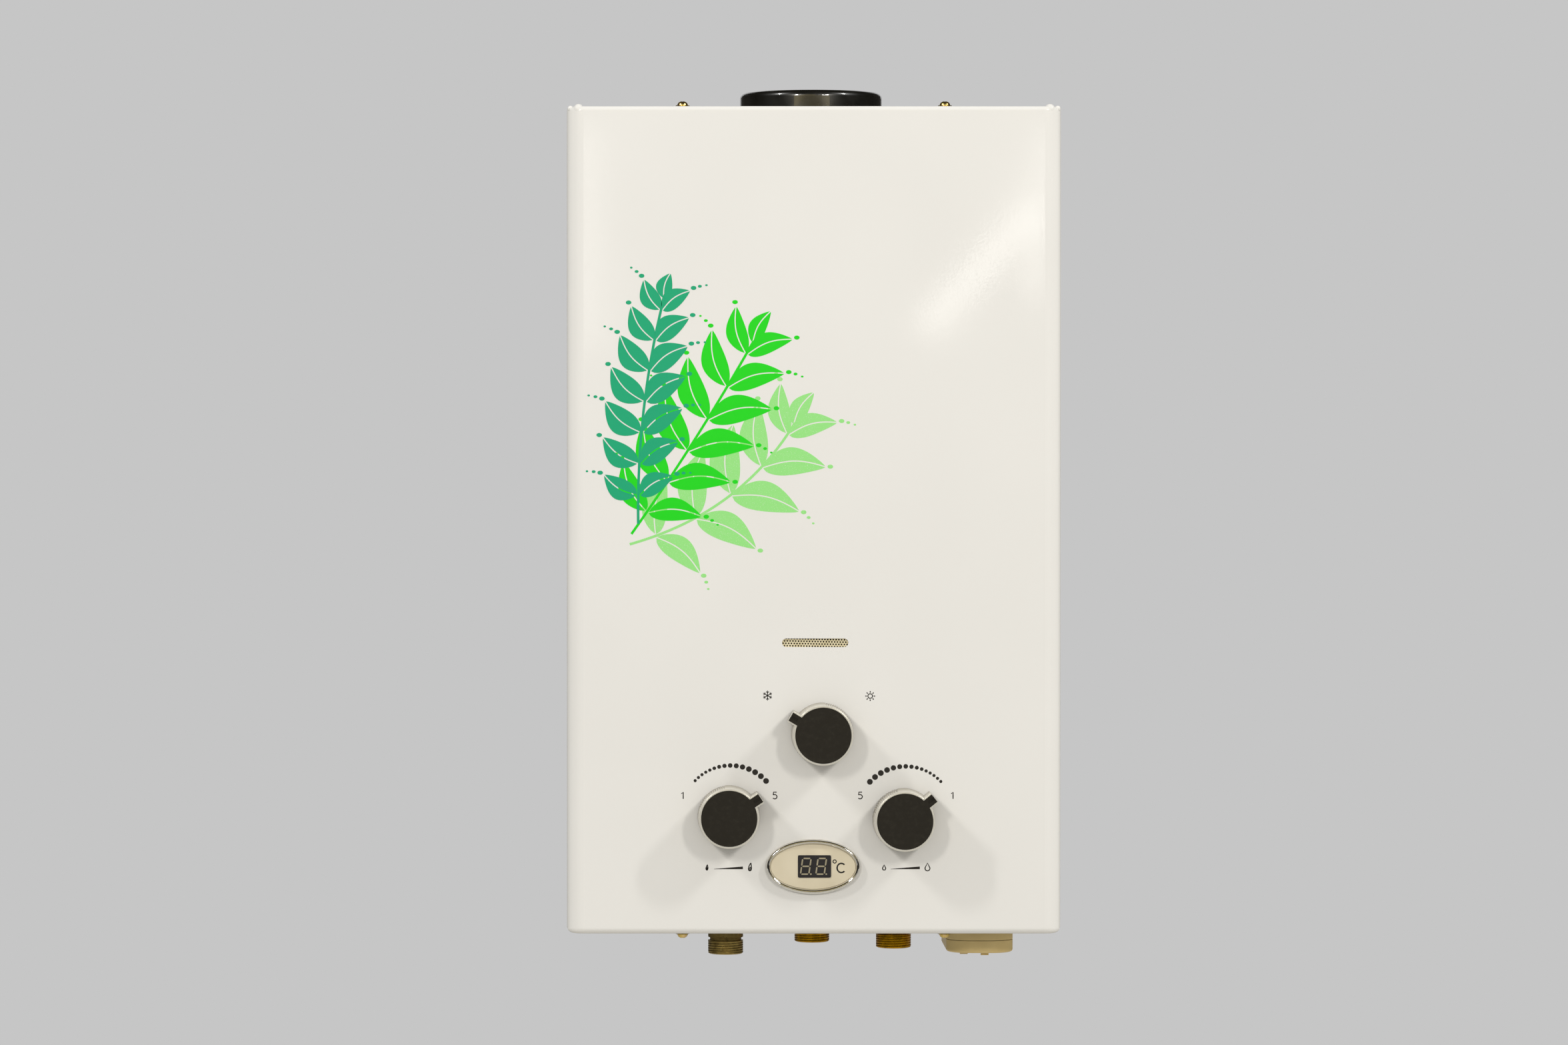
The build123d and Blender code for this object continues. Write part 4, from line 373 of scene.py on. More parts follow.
def finish_mesh(mesh, smooth_angle=35):
    """Merges doubles at seams and poles, turns all faces outwards and smooths below an angle."""
    shape = bmesh.new()
    shape.from_mesh(mesh)
    bmesh.ops.remove_doubles(shape, verts=shape.verts, dist=1e-7)
    bmesh.ops.recalc_face_normals(shape, faces=shape.faces)
    shape.to_mesh(mesh)
    shape.free()
    mesh.shade_smooth()
    mesh.set_sharp_from_angle(angle=math.radians(smooth_angle))


def make_piece(name, points, faces, slot_name, body, stands_for=(), smooth_angle=35, finish=None):
    """One piece in its place: mesh from points and faces, finish, slot and the body under it."""
    mesh = bpy.data.meshes.new(name)
    mesh.from_pydata(points.reshape(-1, 3), [], faces)
    finish_mesh(mesh, smooth_angle)
    piece = bpy.data.objects.new(name, mesh)
    bpy.context.scene.collection.objects.link(piece)
    mesh.materials.append(finish or FINISHES[slot_name])
    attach(piece, body)
    if stands_for:
        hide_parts(*stands_for)
    return piece


def ring_faces(rings, count):
    """Quads between each closed ring of count points and the next one."""
    ring = np.arange(rings - 1)[:, None] * count
    at = np.arange(count)[None, :]
    after = (at + 1) % count
    quads = np.stack([ring + at, ring + after, ring + count + after, ring + count + at], axis=-1)
    return quads.reshape(-1, 4).tolist()


def unit(angle):
    """Step of length one on the front, turned up from X by an angle."""
    return np.array([math.cos(angle), math.sin(angle)])


def turn(points, angle):
    """Points of the front plane turned about their origin."""
    x, z = unit(angle)
    return points @ np.array([[x, z], [-z, x]])


# Knobs


def knob_angles(start, grip_start, grip_end, grip_step):
    """Angles round a knob from one side of its pointer to the other, fine over the two grips."""
    coarse, fine = math.radians(2.5), grip_step / 8
    stops = [start, grip_start, grip_end]
    stops += [2 * math.pi - stop for stop in reversed(stops)]
    sizes = [coarse, fine, coarse, fine, coarse]
    spans = [
        np.linspace(a, b, int(round((b - a) / size)) + 1)[:-1]
        for a, b, size in zip(stops[:-1], stops[1:], sizes)
    ]
    return np.append(np.concatenate(spans), stops[-1])


def build_knob(name, pointer):
    """Knob as rings round its axis, from the middle of the recess over the rim, down the grips and
    back inside to the hub. Each ring is a circle that runs from one side of the pointer round to
    the other, then out along the pointer, across its end and back. The grips are cut in by a
    cosine wave."""
    axis = middle(f"{name}_spindle")
    face, back = (corner[1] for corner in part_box(f"{name}_knob"))
    face_r, base_r, recess_r, cavity_r = 17.45 * MM, 18.3 * MM, 16.35 * MM, 15.45 * MM
    bar, channel, reach = 3.55 * MM, 2.7 * MM, 22 * MM
    recess, edge, web = 1.6 * MM, 0.5 * MM, 3 * MM
    hub_r, shaft_r, shaft_flat, shaft_depth = 5.5 * MM, 3.05 * MM, 2.25 * MM, 14 * MM
    grip_start, grip_end, grips, grip_depth = math.radians(64), math.radians(128), 15, 0.5 * MM
    side_points, end_points = 4, 6
    grip_step = (grip_end - grip_start) / grips
    angles = knob_angles(math.asin(bar / face_r), grip_start, grip_end, grip_step)
    folded = np.minimum(angles, 2 * math.pi - angles)
    share = (folded - grip_start) / (grip_end - grip_start)
    wave = np.where((share >= 0) & (share <= 1), 0.5 - 0.5 * np.cos(2 * math.pi * grips * share), 0)
    total = len(angles) + 2 * side_points + end_points

    def ring(radius, half, out, y, open_end=0.0, groove=0.0):
        """Circle and pointer of half a width, open at its end where the channel runs out."""
        start = math.asin(half / radius)
        placed = start + (angles - angles[0]) * (2 * math.pi - 2 * start) / (angles[-1] - angles[0])
        r = radius - groove * grip_depth * wave
        side = np.linspace(radius * math.cos(start), out, side_points + 2)[1:-1]
        inner = min(half, channel)
        across = np.array([-half, -half, -inner, inner, half, half])
        flat = np.concatenate([
            np.column_stack([r * np.cos(placed), r * np.sin(placed)]),
            np.column_stack([side, np.full(side_points, -half)]),
            np.column_stack([np.full(end_points, out), across]),
            np.column_stack([side[::-1], np.full(side_points, half)]),
        ])
        depth = np.full(total, y)
        mouth = len(angles) + side_points + 2
        depth[mouth : mouth + 2] += open_end
        return flat, depth

    def plain(radius, y, flat_at=None):
        """Plain circle, cut by a flat for the shaft."""
        turned = np.linspace(angles[0], angles[0] + 2 * math.pi, total, endpoint=False)
        r = np.full(total, radius)
        if flat_at is not None:
            r = np.minimum(r, flat_at / np.maximum(np.cos(turned), 1e-3))
        return np.column_stack([r * np.cos(turned), r * np.sin(turned)]), np.full(total, y)

    rings = [
        plain(0, face + recess),
        ring(recess_r, channel, reach, face + recess),
        ring(recess_r, channel, reach, face + 0.2 * MM, open_end=recess - 0.2 * MM),
        ring(recess_r + 0.15 * MM, channel + 0.12 * MM, reach, face, open_end=recess),
    ]
    for tilt in np.radians(np.linspace(0, 90, 7)):
        fall, inset = edge * (1 - math.cos(tilt)), edge * (1 - math.sin(tilt))
        sides = bar - inset * 0.6, reach - inset * 0.4
        rings.append(ring(face_r - inset, *sides, face + fall, open_end=recess - fall))
    for down in np.linspace(0.08, 1.0, 10):
        y = face + edge + (back - 0.3 * MM - face - edge) * down
        deep = min(1.0, max(0.0, (down - 0.1) / 0.25))
        rings.append(ring(face_r + (base_r - face_r) * down, bar, reach, y, groove=deep))
    rings.append(ring(base_r - 0.3 * MM, bar - 0.2 * MM, reach - 0.2 * MM, back, groove=0.6))
    ceiling, shaft_end = face + recess + web, back - shaft_depth
    rings += [
        plain(cavity_r, back), plain(cavity_r, ceiling), plain(hub_r, ceiling), plain(hub_r, back),
        plain(shaft_r, back, shaft_flat), plain(shaft_r, shaft_end, shaft_flat),
        plain(0, shaft_end),
    ]
    flat, depth = (np.stack([r[index] for r in rings]) for index in (0, 1))
    turned = turn(flat.reshape(-1, 2), math.radians(pointer)).reshape(flat.shape)
    points = np.stack([turned[..., 0] + axis[0], depth, turned[..., 1] + axis[2]], axis=-1)
    make_piece(f"{name}_knob_shell", points, ring_faces(len(rings), total), "silver_plastic",
               f"{name}_control", (f"{name}_knob",), smooth_angle=40)


# Where each pointer stands at rest, in degrees up from X
POINTERS = {"season": 149.5, "gas": 33.5, "water": 39.0}

for knob_name, pointer_angle in POINTERS.items():
    build_knob(knob_name, pointer_angle)


# Threaded fittings


def build_fitting(name, node, slot_name):
    """Fitting as rings up its axis: radius as a function of height and angle. Over the thread the
    radius falls by a rounded wave whose height runs round the axis once in each pitch; over the hex
    it is the distance to the side of a hexagon."""
    low, high = ends(node)
    (x, y, _), tip, top = (low + high) / 2, low[2], high[2]
    crest, chamfer, relief, stem, bore = 10.48 * MM, 1.0 * MM, 9.4 * MM, 8.5 * MM, 7 * MM
    thread, pitch, depth, run_out_height = 8 * MM, 1.41 * MM, 0.13 * MM, 0.8 * MM
    relief_height, slope, shoulder = 1.9 * MM, 0.15 * MM, 0.2 * MM
    hex_flat, hex_height, hex_edge, hex_inset = 13 * MM, 8 * MM, 0.6 * MM, 0.97
    floor = underside_z + 1.6 * MM
    levels, sides = 150, 144
    angle = np.linspace(0, 2 * math.pi, sides, endpoint=False)
    heights, radii = [], []

    def level(z, r):
        """One ring at a height, with a radius for all its points or one for each."""
        heights.append(np.full(sides, z))
        radii.append(np.broadcast_to(r, (sides,)).copy())

    thread_top = tip + thread
    relief_top = thread_top + relief_height
    level(tip, bore)
    level(tip, crest - chamfer)
    for z in np.linspace(tip + 0.05 * MM, thread_top, levels):
        phase = 2 * math.pi * z / pitch - angle
        valley = (0.5 - 0.5 * np.cos(phase)) ** 1.8
        run_out = min(1.0, (thread_top - z) / run_out_height)
        rounding = max(0.0, chamfer - (z - tip))
        limit = crest - chamfer + math.sqrt(chamfer**2 - rounding**2)
        level(z, np.minimum(crest - depth * valley * run_out, limit))
    level(thread_top + slope, relief)
    level(relief_top - slope, relief)
    level(relief_top, crest - shoulder)
    level(relief_top + shoulder, crest)
    level(floor, crest)
    around = np.mod(angle, math.pi / 3) - math.pi / 6
    hexagon = hex_flat / np.cos(around)
    level(floor, hexagon * hex_inset)
    level(floor + hex_edge, hexagon)
    level(floor + hex_height - hex_edge, hexagon)
    level(floor + hex_height, hexagon * hex_inset)
    level(floor + hex_height, stem)
    level(top, stem)
    level(top, bore)
    level(tip, bore)
    height, radius = np.stack(heights), np.stack(radii)
    points = np.stack([x + radius * np.cos(angle), y + radius * np.sin(angle), height], axis=-1)
    faces = ring_faces(len(heights), sides)
    make_piece(name, points, faces, slot_name, "root", (node,), smooth_angle=42)


for end, brass in (("gas_inlet", "dull_brass"), ("hot_outlet", "brass"), ("cold_inlet", "brass")):
    build_fitting(f"{end}_fitting", f"{end}_nipple", brass)


# Valve spring


def build_spring():
    """Round wire in six turns along X: the middle of the wire follows a helix, and the wire's
    circle lies in the plane of the axis and the outward direction."""
    low, high = ends("poppet_spring")
    wire, turns, steps, sides, travel = 0.5 * MM, 6, 289, 12, 3 * MM
    centre, length = (low + high) / 2, high[0] - low[0]
    angle = np.linspace(0, 2 * math.pi * turns, steps)[:, None]
    section = np.linspace(0, 2 * math.pi, sides, endpoint=False)[None, :]
    outward = (high[1] - low[1]) / 2 - wire + wire * np.cos(section)
    x = low[0] + wire + (length - 2 * wire) * angle / angle[-1] + wire * np.sin(section)
    points = np.stack(
        [x, centre[1] + outward * np.cos(angle), centre[2] + outward * np.sin(angle)], axis=-1
    )
    caps = [list(range(sides)), list(range(steps * sides - 1, (steps - 1) * sides - 1, -1))]
    faces = ring_faces(steps, sides) + caps
    piece = make_piece("valve_spring", points, faces, "spring_steel", "root", ("poppet_spring",))
    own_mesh(piece)


build_spring()


# Printed marks


def join_shapes(shapes):
    """Several (points, faces) shapes as one."""
    points, faces, start = [], [], 0
    for shape_points, shape_faces in shapes:
        points.append(shape_points)
        faces += [[index + start for index in face] for face in shape_faces]
        start += len(shape_points)
    return np.concatenate(points), faces


def slab(outline, face_y, thickness):
    """Flat shape: its outline as a front face, the same behind it and a rim of quads between."""
    count = len(outline)
    front = np.column_stack([outline[:, 0], np.full(count, face_y - thickness), outline[:, 1]])
    back = front + [0, 2 * thickness, 0]
    faces = [list(range(count)), list(range(2 * count - 1, count - 1, -1))]
    return np.concatenate([front, back]), faces + ring_faces(2, count)


def ribbon(path, half, face_y, thickness, closed=False):
    """Flat line along a path: at each point, two points half a width to either side of the path,
    square to its direction, at the front and again behind."""
    ahead = np.roll(path, -1, axis=0) - np.roll(path, 1, axis=0)
    if not closed:
        ahead[0], ahead[-1] = path[1] - path[0], path[-1] - path[-2]
    side = np.column_stack([-ahead[:, 1], ahead[:, 0]])
    side *= half / np.linalg.norm(side, axis=1)[:, None]
    left, right = path + side, path - side
    front, back = (np.full(len(path), face_y + sign * thickness) for sign in (-1, 1))
    corners = [(left, front), (right, front), (right, back), (left, back)]
    rings = np.stack([np.column_stack([p[:, 0], y, p[:, 1]]) for p, y in corners], axis=1)
    if closed:
        rings = np.concatenate([rings, rings[:1]])
    faces = ring_faces(len(rings), 4)
    last = 4 * len(rings) - 4
    caps = [] if closed else [[3, 2, 1, 0], [last, last + 1, last + 2, last + 3]]
    return rings.reshape(-1, 3), faces + caps


def arc(centre, radius, start, end, count=24):
    """Points of an arc from start to end in degrees; radius may be a pair for an ellipse."""
    angle = np.radians(np.linspace(start, end, count))
    reach = np.broadcast_to(radius, (2,))
    return np.array(centre) + np.column_stack([reach[0] * np.cos(angle), reach[1] * np.sin(angle)])


def disc(centre, radius, count=32):
    """Outline of a disc."""
    return arc(centre, radius, 0, 360 * (count - 1) / count, count)


def front_point(x, z):
    """A place on the front in millimetres, as metres."""
    return np.array([x, z]) * MM


INK_RISE = 0.04 * MM
LINE_HALF = 0.3 * MM


def print_flat(outline):
    """Printed shape on the front."""
    return slab(outline, panel_y, INK_RISE)


def print_line(path, share=1.0, closed=False):
    """Printed line on the front, with a share of the usual width."""
    return ribbon(path, LINE_HALF * share, panel_y, INK_RISE, closed)


def print_piece(name, shapes, ink):
    """Printed shapes as one piece that stays with the casing."""
    make_piece(name, *join_shapes(shapes), None, "root", finish=ink)


def build_dots(name, centre, big_end, small_end):
    """Arc of fifteen dots. Diameters fall from 3.4 to 1.85 mm, and each step along the arc grows
    with the dots on both sides of it."""
    radius, gap = 28.5 * MM, 0.9 * MM
    diameters = np.clip(3.9 - 0.2 * np.arange(15), 1.85, 3.4) * MM
    steps = gap + 0.46 * (diameters[1:] + diameters[:-1])
    share = np.concatenate([[0], np.cumsum(steps)]) / steps.sum()
    angles = np.radians(big_end + (small_end - big_end) * share)
    dots = [disc(centre + radius * unit(a), d / 2) for a, d in zip(angles, diameters)]
    print_piece(name, [print_flat(dot) for dot in dots], BLACK_INK)


def snowflake(centre, size):
    """Three strokes through the middle with a small fork near each end."""
    shapes = []
    for angle in np.radians([90, 150, 210, 270, 330, 30]):
        fork = centre + unit(angle) * size * 0.55
        shapes.append(print_line(np.array([centre, centre + unit(angle) * size]), 0.8))
        for spread in (-0.85, 0.85):
            tip = fork + size * 0.38 * unit(angle + spread)
            shapes.append(print_line(np.array([fork, tip]), 0.7))
    return shapes


def sun(centre, size):
    """Ring with eight rays."""
    shapes = [print_line(disc(centre, size * 0.46), 0.9, closed=True)]
    for angle in np.radians(np.arange(0, 360, 45)):
        along = unit(angle)
        shapes.append(print_line(np.array([centre + along * size * 0.68, centre + along * size])))
    return shapes


def flame(centre, size):
    """Closed teardrop line whose width follows sin and whose tip leans to one side, and a small one
    inside it."""
    rise = np.linspace(0, 1, 40)
    half = 0.62**2 * np.sin(math.pi * rise**0.62) ** 0.9
    lean = 0.22 * rise**2
    up = np.column_stack([half + lean, 2 * rise - 1])
    down = np.column_stack([-half + lean, 2 * rise - 1])[::-1][1:-1]
    outline = np.concatenate([up, down])
    inner = outline * 0.42 + [0, -0.42]
    return [
        print_line(centre + size * outline, closed=True),
        print_line(centre + size * inner, 0.8, closed=True),
    ]


def drop(centre, size):
    """Closed drop line: a round bottom that runs up to a point."""
    round_part = arc((0, -0.36), 0.62, 150, 390, 36)
    outline = np.concatenate([round_part, [[0, 1.0]]])
    return [print_line(centre + size * outline, closed=True)]


def wedge(centre):
    """Thin wedge that grows from one side to the other."""
    half = np.array([17, 1.6]) * MM / 2
    return print_flat(centre + np.array([[-1, -1], [1, -1], [1, 1], [-1, -0.8]]) * half)


def numeral(which, centre):
    """Plain one or five drawn with a single stroke."""
    height = 3.9 * MM
    if which == 1:
        path = np.array([[-0.24, 0.28], [0.04, 0.5], [0.04, -0.5]])
    else:
        belly = arc((-0.02, -0.18), (0.33, 0.32), 118, -142, 26)
        path = np.concatenate([[[0.26, 0.5], [-0.2, 0.5], [-0.24, 0.08]], belly])
    return print_line(centre + height * path)


BLACK_INK = ink_finish("black_print", colour(40, 37, 34))

# Places of the marks on the front, in millimetres from its middle, and the sizes of the signs
NUMERALS = ((1, -76.8), (5, -23.0), (5, 27.0), (1, 81.2))
NUMERAL_ROW, SEASON_ROW, SMALL_ROW, WEDGE_ROW, LARGE_ROW = -161.2, -102.6, -203.4, -203.6, -203.1
SEASON_SIGN, SMALL_SIGN, LARGE_SIGN = 2.9 * MM, 1.5 * MM, 2.3 * MM

build_dots("gas_dots", front_point(-49.0, -172.1), 43, 136.5)
build_dots("water_dots", front_point(53.5, -172.6), 137, 43.5)
print_piece("winter_mark", snowflake(front_point(-27.3, SEASON_ROW), SEASON_SIGN), BLACK_INK)
print_piece("summer_mark", sun(front_point(32.8, SEASON_ROW - 0.3), SEASON_SIGN), BLACK_INK)
numerals = [numeral(which, front_point(x, NUMERAL_ROW)) for which, x in NUMERALS]
print_piece("level_numerals", numerals, BLACK_INK)
for name, sign, small_x, wedge_x, large_x in (
    ("gas_marks", flame, -62.8, -50.2, -37.6),
    ("water_marks", drop, 41.0, 53.4, 66.4),
):
    small = sign(front_point(small_x, SMALL_ROW), SMALL_SIGN)
    large = sign(front_point(large_x, LARGE_ROW), LARGE_SIGN)
    print_piece(name, [*small, wedge(front_point(wedge_x, WEDGE_ROW)), *large], BLACK_INK)


# Display


def build_bezel():
    """Chrome ring: a rounded profile carried round an ellipse. Across the ring the ellipse shrinks
    from the outer size to the inner one while the height follows a flattened half circle."""
    low, high = ends("display_bezel")
    centre, outer = (low + high) / 2, (high - low)[[0, 2]] / 2
    inner, sunk = outer - np.array([2.65, 2.95]) * MM, 0.3 * MM
    rise, round_angle = panel_y - low[1], np.linspace(0, math.pi, 22)
    share = np.concatenate([(1 - np.cos(round_angle)) / 2, [1.0, 0.0]])
    height = np.concatenate([rise * np.sin(round_angle) ** 0.75, [-sunk, -sunk]])
    angle = np.linspace(0, 2 * math.pi, 160, endpoint=False)
    size = outer + (inner - outer) * share[:, None]
    x = centre[0] + size[:, :1] * np.cos(angle)
    z = centre[2] + size[:, 1:] * np.sin(angle)
    points = np.stack([x, np.broadcast_to(panel_y - height[:, None], x.shape), z], axis=-1)
    points = np.concatenate([points, points[:1]])
    make_piece("bezel_ring", points, ring_faces(len(points), len(angle)), "chrome_trim", "root",
               ("display_bezel",), smooth_angle=60)


def segment(centre, length, half, lean, standing=False):
    """Six-sided segment of a digit, lying or standing, leaned with the digit."""
    slant = 1 - 2 * half / length
    shape = np.array([[-1, 0], [-slant, 1], [slant, 1], [1, 0], [slant, -1], [-slant, -1]])
    shape = shape * [length / 2, half]
    placed = (shape[:, ::-1] if standing else shape) + centre
    placed[:, 0] += lean * placed[:, 1]
    return placed


def build_digits():
    """Two unlit eights with their points, leaned by 8 degrees."""
    window = middle("digit_module")[[0, 2]]
    wide, tall, half, lean = 4.9 * MM, 9.2 * MM, 0.42 * MM, math.tan(math.radians(8))
    lying, standing, thickness = wide - 0.7 * MM, tall / 2 - 0.6 * MM, 0.02 * MM
    outlines = []
    for offset in (-5.1 * MM, 3.9 * MM):
        origin = window + [offset, 0.1 * MM]
        for level in (-1, 0, 1):
            outlines.append(segment(np.array([0, level * tall / 2]), lying, half, lean) + origin)
        for side in (-1, 1):
            for level in (-1, 1):
                place = np.array([side * wide / 2, level * tall / 4])
                outlines.append(segment(place, standing, half, lean, standing=True) + origin)
        point = origin + [wide / 2 + 1.15 * MM - lean * tall / 2, -tall / 2]
        outlines.append(disc(point, 0.5 * MM, 16))
    shapes = [slab(outline, window_y, thickness) for outline in outlines]
    print_piece("digit_segments", shapes, SEGMENT_INK)


def build_display_prints():
    """Pale line round the window and the degree Celsius sign beside it."""
    low, high = (corner[[0, 2]] for corner in ends("digit_module"))
    corner, edge_half, edge_rise, sign_rise = 1.0 * MM, 0.13 * MM, 0.05 * MM, 0.03 * MM
    middles = (high - low) / 2 + 0.12 * MM - corner
    path = np.concatenate([
        arc((low + high) / 2 + middles * side, corner, start, start + 90, 8)
        for side, start in (((1, 1), 0), ((-1, 1), 90), ((-1, -1), 180), ((1, -1), 270))
    ])
    edge = ribbon(path, edge_half, plate_y, edge_rise, closed=True)
    print_piece("window_edge", [edge], EDGE_INK)
    circle = disc(front_point(12.0, -199.8), 0.95 * MM)
    letter = arc(front_point(15.9, -203.6), (2.45 * MM, 2.7 * MM), 42, 318, 40)
    ring = ribbon(circle, 0.28 * MM, plate_y, sign_rise, closed=True)
    print_piece("degree_mark", [ring, ribbon(letter, 0.44 * MM, plate_y, sign_rise)], BLACK_INK)


SEGMENT_INK = ink_finish("unlit_segments", colour(160, 150, 124))
EDGE_INK = ink_finish("window_edge_paint", colour(226, 214, 188))
build_bezel()
build_digits()
build_display_prints()


# Leaf pattern on the left of the front


def leaf_halves(root, direction, length, width):
    """Two halves of a leaf with a bare midrib between: each runs from root to tip along the midrib
    and back along a side whose distance is the width times sin, drawn towards the root."""
    gap = 0.35 * MM
    share = np.linspace(0, 1, 22)
    swell = width * np.sin(math.pi * share**0.8) ** 0.85
    bend = 0.10 * length * np.sin(math.pi * share)
    along = unit(direction)
    across = np.array([-along[1], along[0]])
    halves = []
    for side in (-1, 1):
        rib = root + np.outer(share * length, along)
        inner = rib + np.outer(bend + side * gap, across)
        outer = rib + np.outer(bend + side * (gap + swell), across)
        halves.append(np.concatenate([inner, outer[::-1][1:-1]])[::side])
    return halves


def build_spray(name, curve, leaves, longest, widest, layer, ink):
    """Stem along a curve of three points with pairs of leaves. Leaf length swells and falls along
    the stem as sin, and a row of seeds that shrink outwards follows each leaf tip."""
    start, control, end = (front_point(*point) for point in curve)
    longest, widest, rise = longest * MM, widest * MM, INK_RISE * (1 + 0.6 * layer)
    share = np.linspace(0, 1, 60)[:, None]
    stem = (1 - share) ** 2 * start + 2 * share * (1 - share) * control + share**2 * end
    shapes = [ribbon(stem, 0.75 * MM, panel_y, 0.8 * rise)]
    for index, t in enumerate(np.linspace(0.12, 0.94, leaves)):
        root = (1 - t) ** 2 * start + 2 * t * (1 - t) * control + t**2 * end
        ahead = (1 - t) * (control - start) + t * (end - control)
        size = (0.42 + 0.58 * math.sin(math.pi * (0.15 + 0.72 * t))) * longest
        spread = math.radians(62 - 22 * t)
        for side in (-1, 1):
            direction = math.atan2(ahead[1], ahead[0]) + side * spread
            leaf_root = root + 1.3 * MM * unit(direction)
            outlines = leaf_halves(leaf_root, direction, size, widest * size / longest)
            for step, seed in enumerate(SEEDS if index % 2 == 0 else SEEDS[:1]):
                reach = size + (4.2 + 3.6 * step) * MM
                place = root + reach * unit(direction + side * 0.05 * step)
                outlines.append(disc(place, (seed * 1.1 * MM, seed * 0.8 * MM), 16))
            shapes += [slab(outline, panel_y, rise) for outline in outlines]
    along = end - control
    tip = leaf_halves(end, math.atan2(along[1], along[0]), longest * 0.55, widest * 0.6)
    shapes += [slab(outline, panel_y, 1.2 * rise) for outline in tip]
    print_piece(name, shapes, ink)


PAPER = colour(233, 230, 224)
TEAL_INK = ink_finish("teal_print", colour(8, 165, 116))
GREEN_INK = ink_finish("green_print", colour(14, 214, 12))
LIGHT_INK = ink_finish("light_green_print", colour(150, 226, 130), 0.5, PAPER)
# Sizes of the seeds beyond a leaf, against the smallest leaf
SEEDS = (1.5, 1.05, 0.7)
# Start, control and end of each stem, pairs of leaves, longest and widest leaf in millimetres,
# layer
SPRAYS = (
    ("light_spray", ((-108, -14), (-44, 4), (-12, 56)), 5, 40, 8.6, 0, LIGHT_INK),
    ("green_spray", ((-107, -8), (-70, 44), (-36, 104)), 6, 38, 8.0, 1, GREEN_INK),
    ("teal_spray", ((-103, -2), (-104, 66), (-88, 130)), 7, 27, 7.4, 2, TEAL_INK),
)
for spray in SPRAYS:
    build_spray(*spray)


# Camera, lamps, floor and background


def build_camera():
    """Camera 3 m in front of the face, a little above the middle, tilted down by 0.6 degrees."""
    data = bpy.data.cameras.new("photo_camera")
    data.sensor_width = 36
    data.lens = 117.7
    data.shift_x = 0.0788
    data.shift_y = -0.0325
    camera = bpy.data.objects.new("photo_camera", data)
    bpy.context.scene.collection.objects.link(camera)
    camera.location = (-0.090, -3.140, 0.060)
    camera.rotation_euler = (math.radians(89.4), 0, 0)
    bpy.context.scene.camera = camera


def lamp(name, place, aim, size, power, tint, roll=0.0):
    """Rectangular lamp, unseen by the camera, aimed and then rolled about its beam in degrees."""
    data = bpy.data.lights.new(name, "AREA")
    data.shape = "RECTANGLE"
    data.size, data.size_y = size
    data.energy = power
    data.color = tint
    light = bpy.data.objects.new(name, data)
    bpy.context.scene.collection.objects.link(light)
    light.location = place
    facing = (Vector(aim) - Vector(place)).to_track_quat("-Z", "Y")
    light.rotation_euler = (facing @ Quaternion((0, 0, 1), math.radians(roll))).to_euler()
    light.visible_camera = False
    return light


WARM, COOL, AMBER = (1.0, 0.975, 0.925), (0.985, 0.985, 0.97), (1.0, 0.8, 0.34)
# Place, aim, width and height, power, tint and roll of each lamp
LAMPS = {
    "left_spot": ((-2.3, -1.42, 2.15), (0, -0.14, -0.15), (0.16, 0.5), 32.5, COOL),
    "right_spot": ((2.3, -1.42, 2.15), (0, -0.14, -0.15), (0.16, 0.5), 32.5, COOL),
    "left_strip": ((-1.5, -3.3, 1.3), (0, -0.14, -0.1), (0.3, 0.6), 27.5, WARM),
    "right_strip": ((1.5, -3.3, 1.3), (0, -0.14, -0.1), (0.3, 0.6), 27.5, WARM),
    "left_small_lamp": ((-0.174, -3.14, 0.27), (-0.13, -0.14, 0.17), (0.018, 0.26), 0.05, WARM),
    "right_small_lamp": ((0.354, -3.14, 0.30), (0.13, -0.14, 0.18), (0.018, 0.20), 0.04, WARM, -5),
    "slanted_small_lamp": (
        (0.285, -3.14, 0.235), (0.10, -0.14, 0.15), (0.035, 0.20), 0.092, WARM, -42
    ),
    "right_fill": ((2.4, -0.35, 0.1), (0.14, -0.14, 0), (0.5, 0.8), 7.5, WARM),
    "amber_glow": ((0, -4.4, 0.98), (0, 0, 0.98), (6.4, 0.9), 26, AMBER),
}


def build_lights():
    """Two ceiling spots to the upper left and right, two strips beside the camera, three small
    lamps close to it, whose reflections lie on the enamel, a faint one for the right side that
    shows in no reflection, and an amber glow behind the camera that only shows as a reflection."""
    lights = {name: lamp(name, *values) for name, values in LAMPS.items()}
    lights["right_fill"].visible_glossy = False
    lights["amber_glow"].visible_diffuse = False


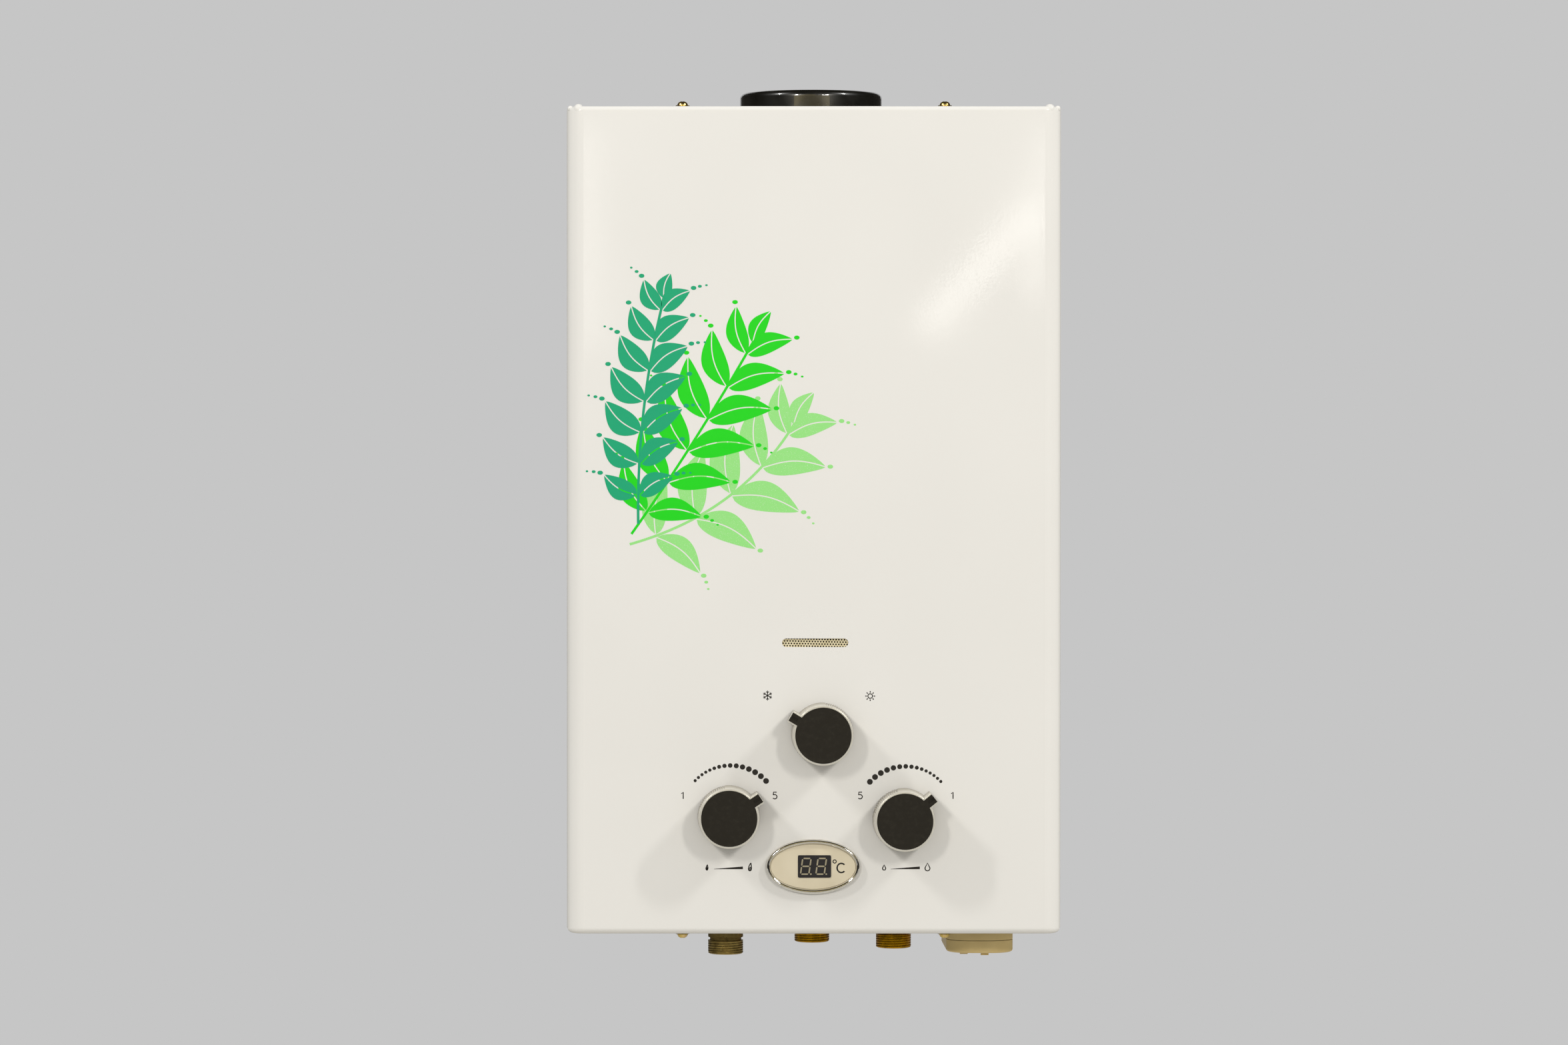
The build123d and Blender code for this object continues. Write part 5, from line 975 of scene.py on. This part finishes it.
def build_room():
    """Dark wall of a shop, curved round the front of the heater, for its reflections only."""
    radius, foot, top, count, rim = 5.0, -1.2, 3.5, 48, 32
    around = arc((0, 0), radius, 112, 428, count)
    lower = np.column_stack([around, np.full(count, foot)])
    upper = lower + [0, 0, top - foot]
    ahead = np.arange(count - 1)
    faces = np.column_stack([ahead, ahead + 1, ahead + count + 1, ahead + count]).tolist()
    ceiling = np.column_stack([disc((0, 0), radius, rim), np.full(rim, top)])
    faces.append(list(range(2 * count + rim - 1, 2 * count - 1, -1)))
    mesh = bpy.data.meshes.new("shop_wall")
    mesh.from_pydata(np.concatenate([lower, upper, ceiling]), [], faces)
    wall = bpy.data.objects.new("shop_wall", mesh)
    bpy.context.scene.collection.objects.link(wall)
    mesh.materials.append(
        plain_finish("wall_paint", (66, 62, 56), (48, 45, 40), 800, (0.8, 0.9), 10, 0.1)
    )
    wall.visible_camera = False
    wall.visible_diffuse = False
    wall.visible_shadow = False
    wall.visible_transmission = False


def build_floor():
    """Pale floor well below the heater."""
    mesh = bpy.data.meshes.new("pale_floor")
    half, level = 7.0, -2.4
    corners = [(x * half, y * half, level) for x, y in ((-1, -1), (1, -1), (1, 1), (-1, 1))]
    mesh.from_pydata(corners, [], [(0, 1, 2, 3)])
    floor = bpy.data.objects.new("pale_floor", mesh)
    bpy.context.scene.collection.objects.link(floor)
    mesh.materials.append(
        plain_finish("floor_paint", (230, 226, 217), (227, 223, 214), 400, (0.7, 0.8), 10, 0.1)
    )


def build_background():
    """Even grey behind everything that the camera sees, directly or through a reflection, and soft
    light from all sides."""
    soft_light, shown_grey = (0.44, 0.448, 0.455, 1.0), colour(198, 198, 198)
    world = bpy.data.worlds.new("grey_room")
    world.use_nodes = True
    bpy.context.scene.world = world
    tree = world.node_tree
    background = tree.nodes["Background"]
    ray = tree.nodes.new("ShaderNodeLightPath")
    seen = ray.outputs["Is Camera Ray"]
    for kind in ("Is Glossy Ray", "Is Transmission Ray"):
        either = tree.nodes.new("ShaderNodeMath")
        either.operation = "MAXIMUM"
        tree.links.new(seen, either.inputs[0])
        tree.links.new(ray.outputs[kind], either.inputs[1])
        seen = either.outputs[0]
    mix = tree.nodes.new("ShaderNodeMix")
    mix.data_type = "RGBA"
    tree.links.new(seen, mix.inputs[MIX_SHARE])
    mix.inputs[MIX_FIRST].default_value = soft_light
    mix.inputs[MIX_SECOND].default_value = shown_grey
    tree.links.new(mix.outputs[MIX_RESULT], background.inputs["Color"])


build_camera()
build_lights()
build_room()
build_floor()
build_background()

bpy.context.scene.view_settings.view_transform = "Standard"
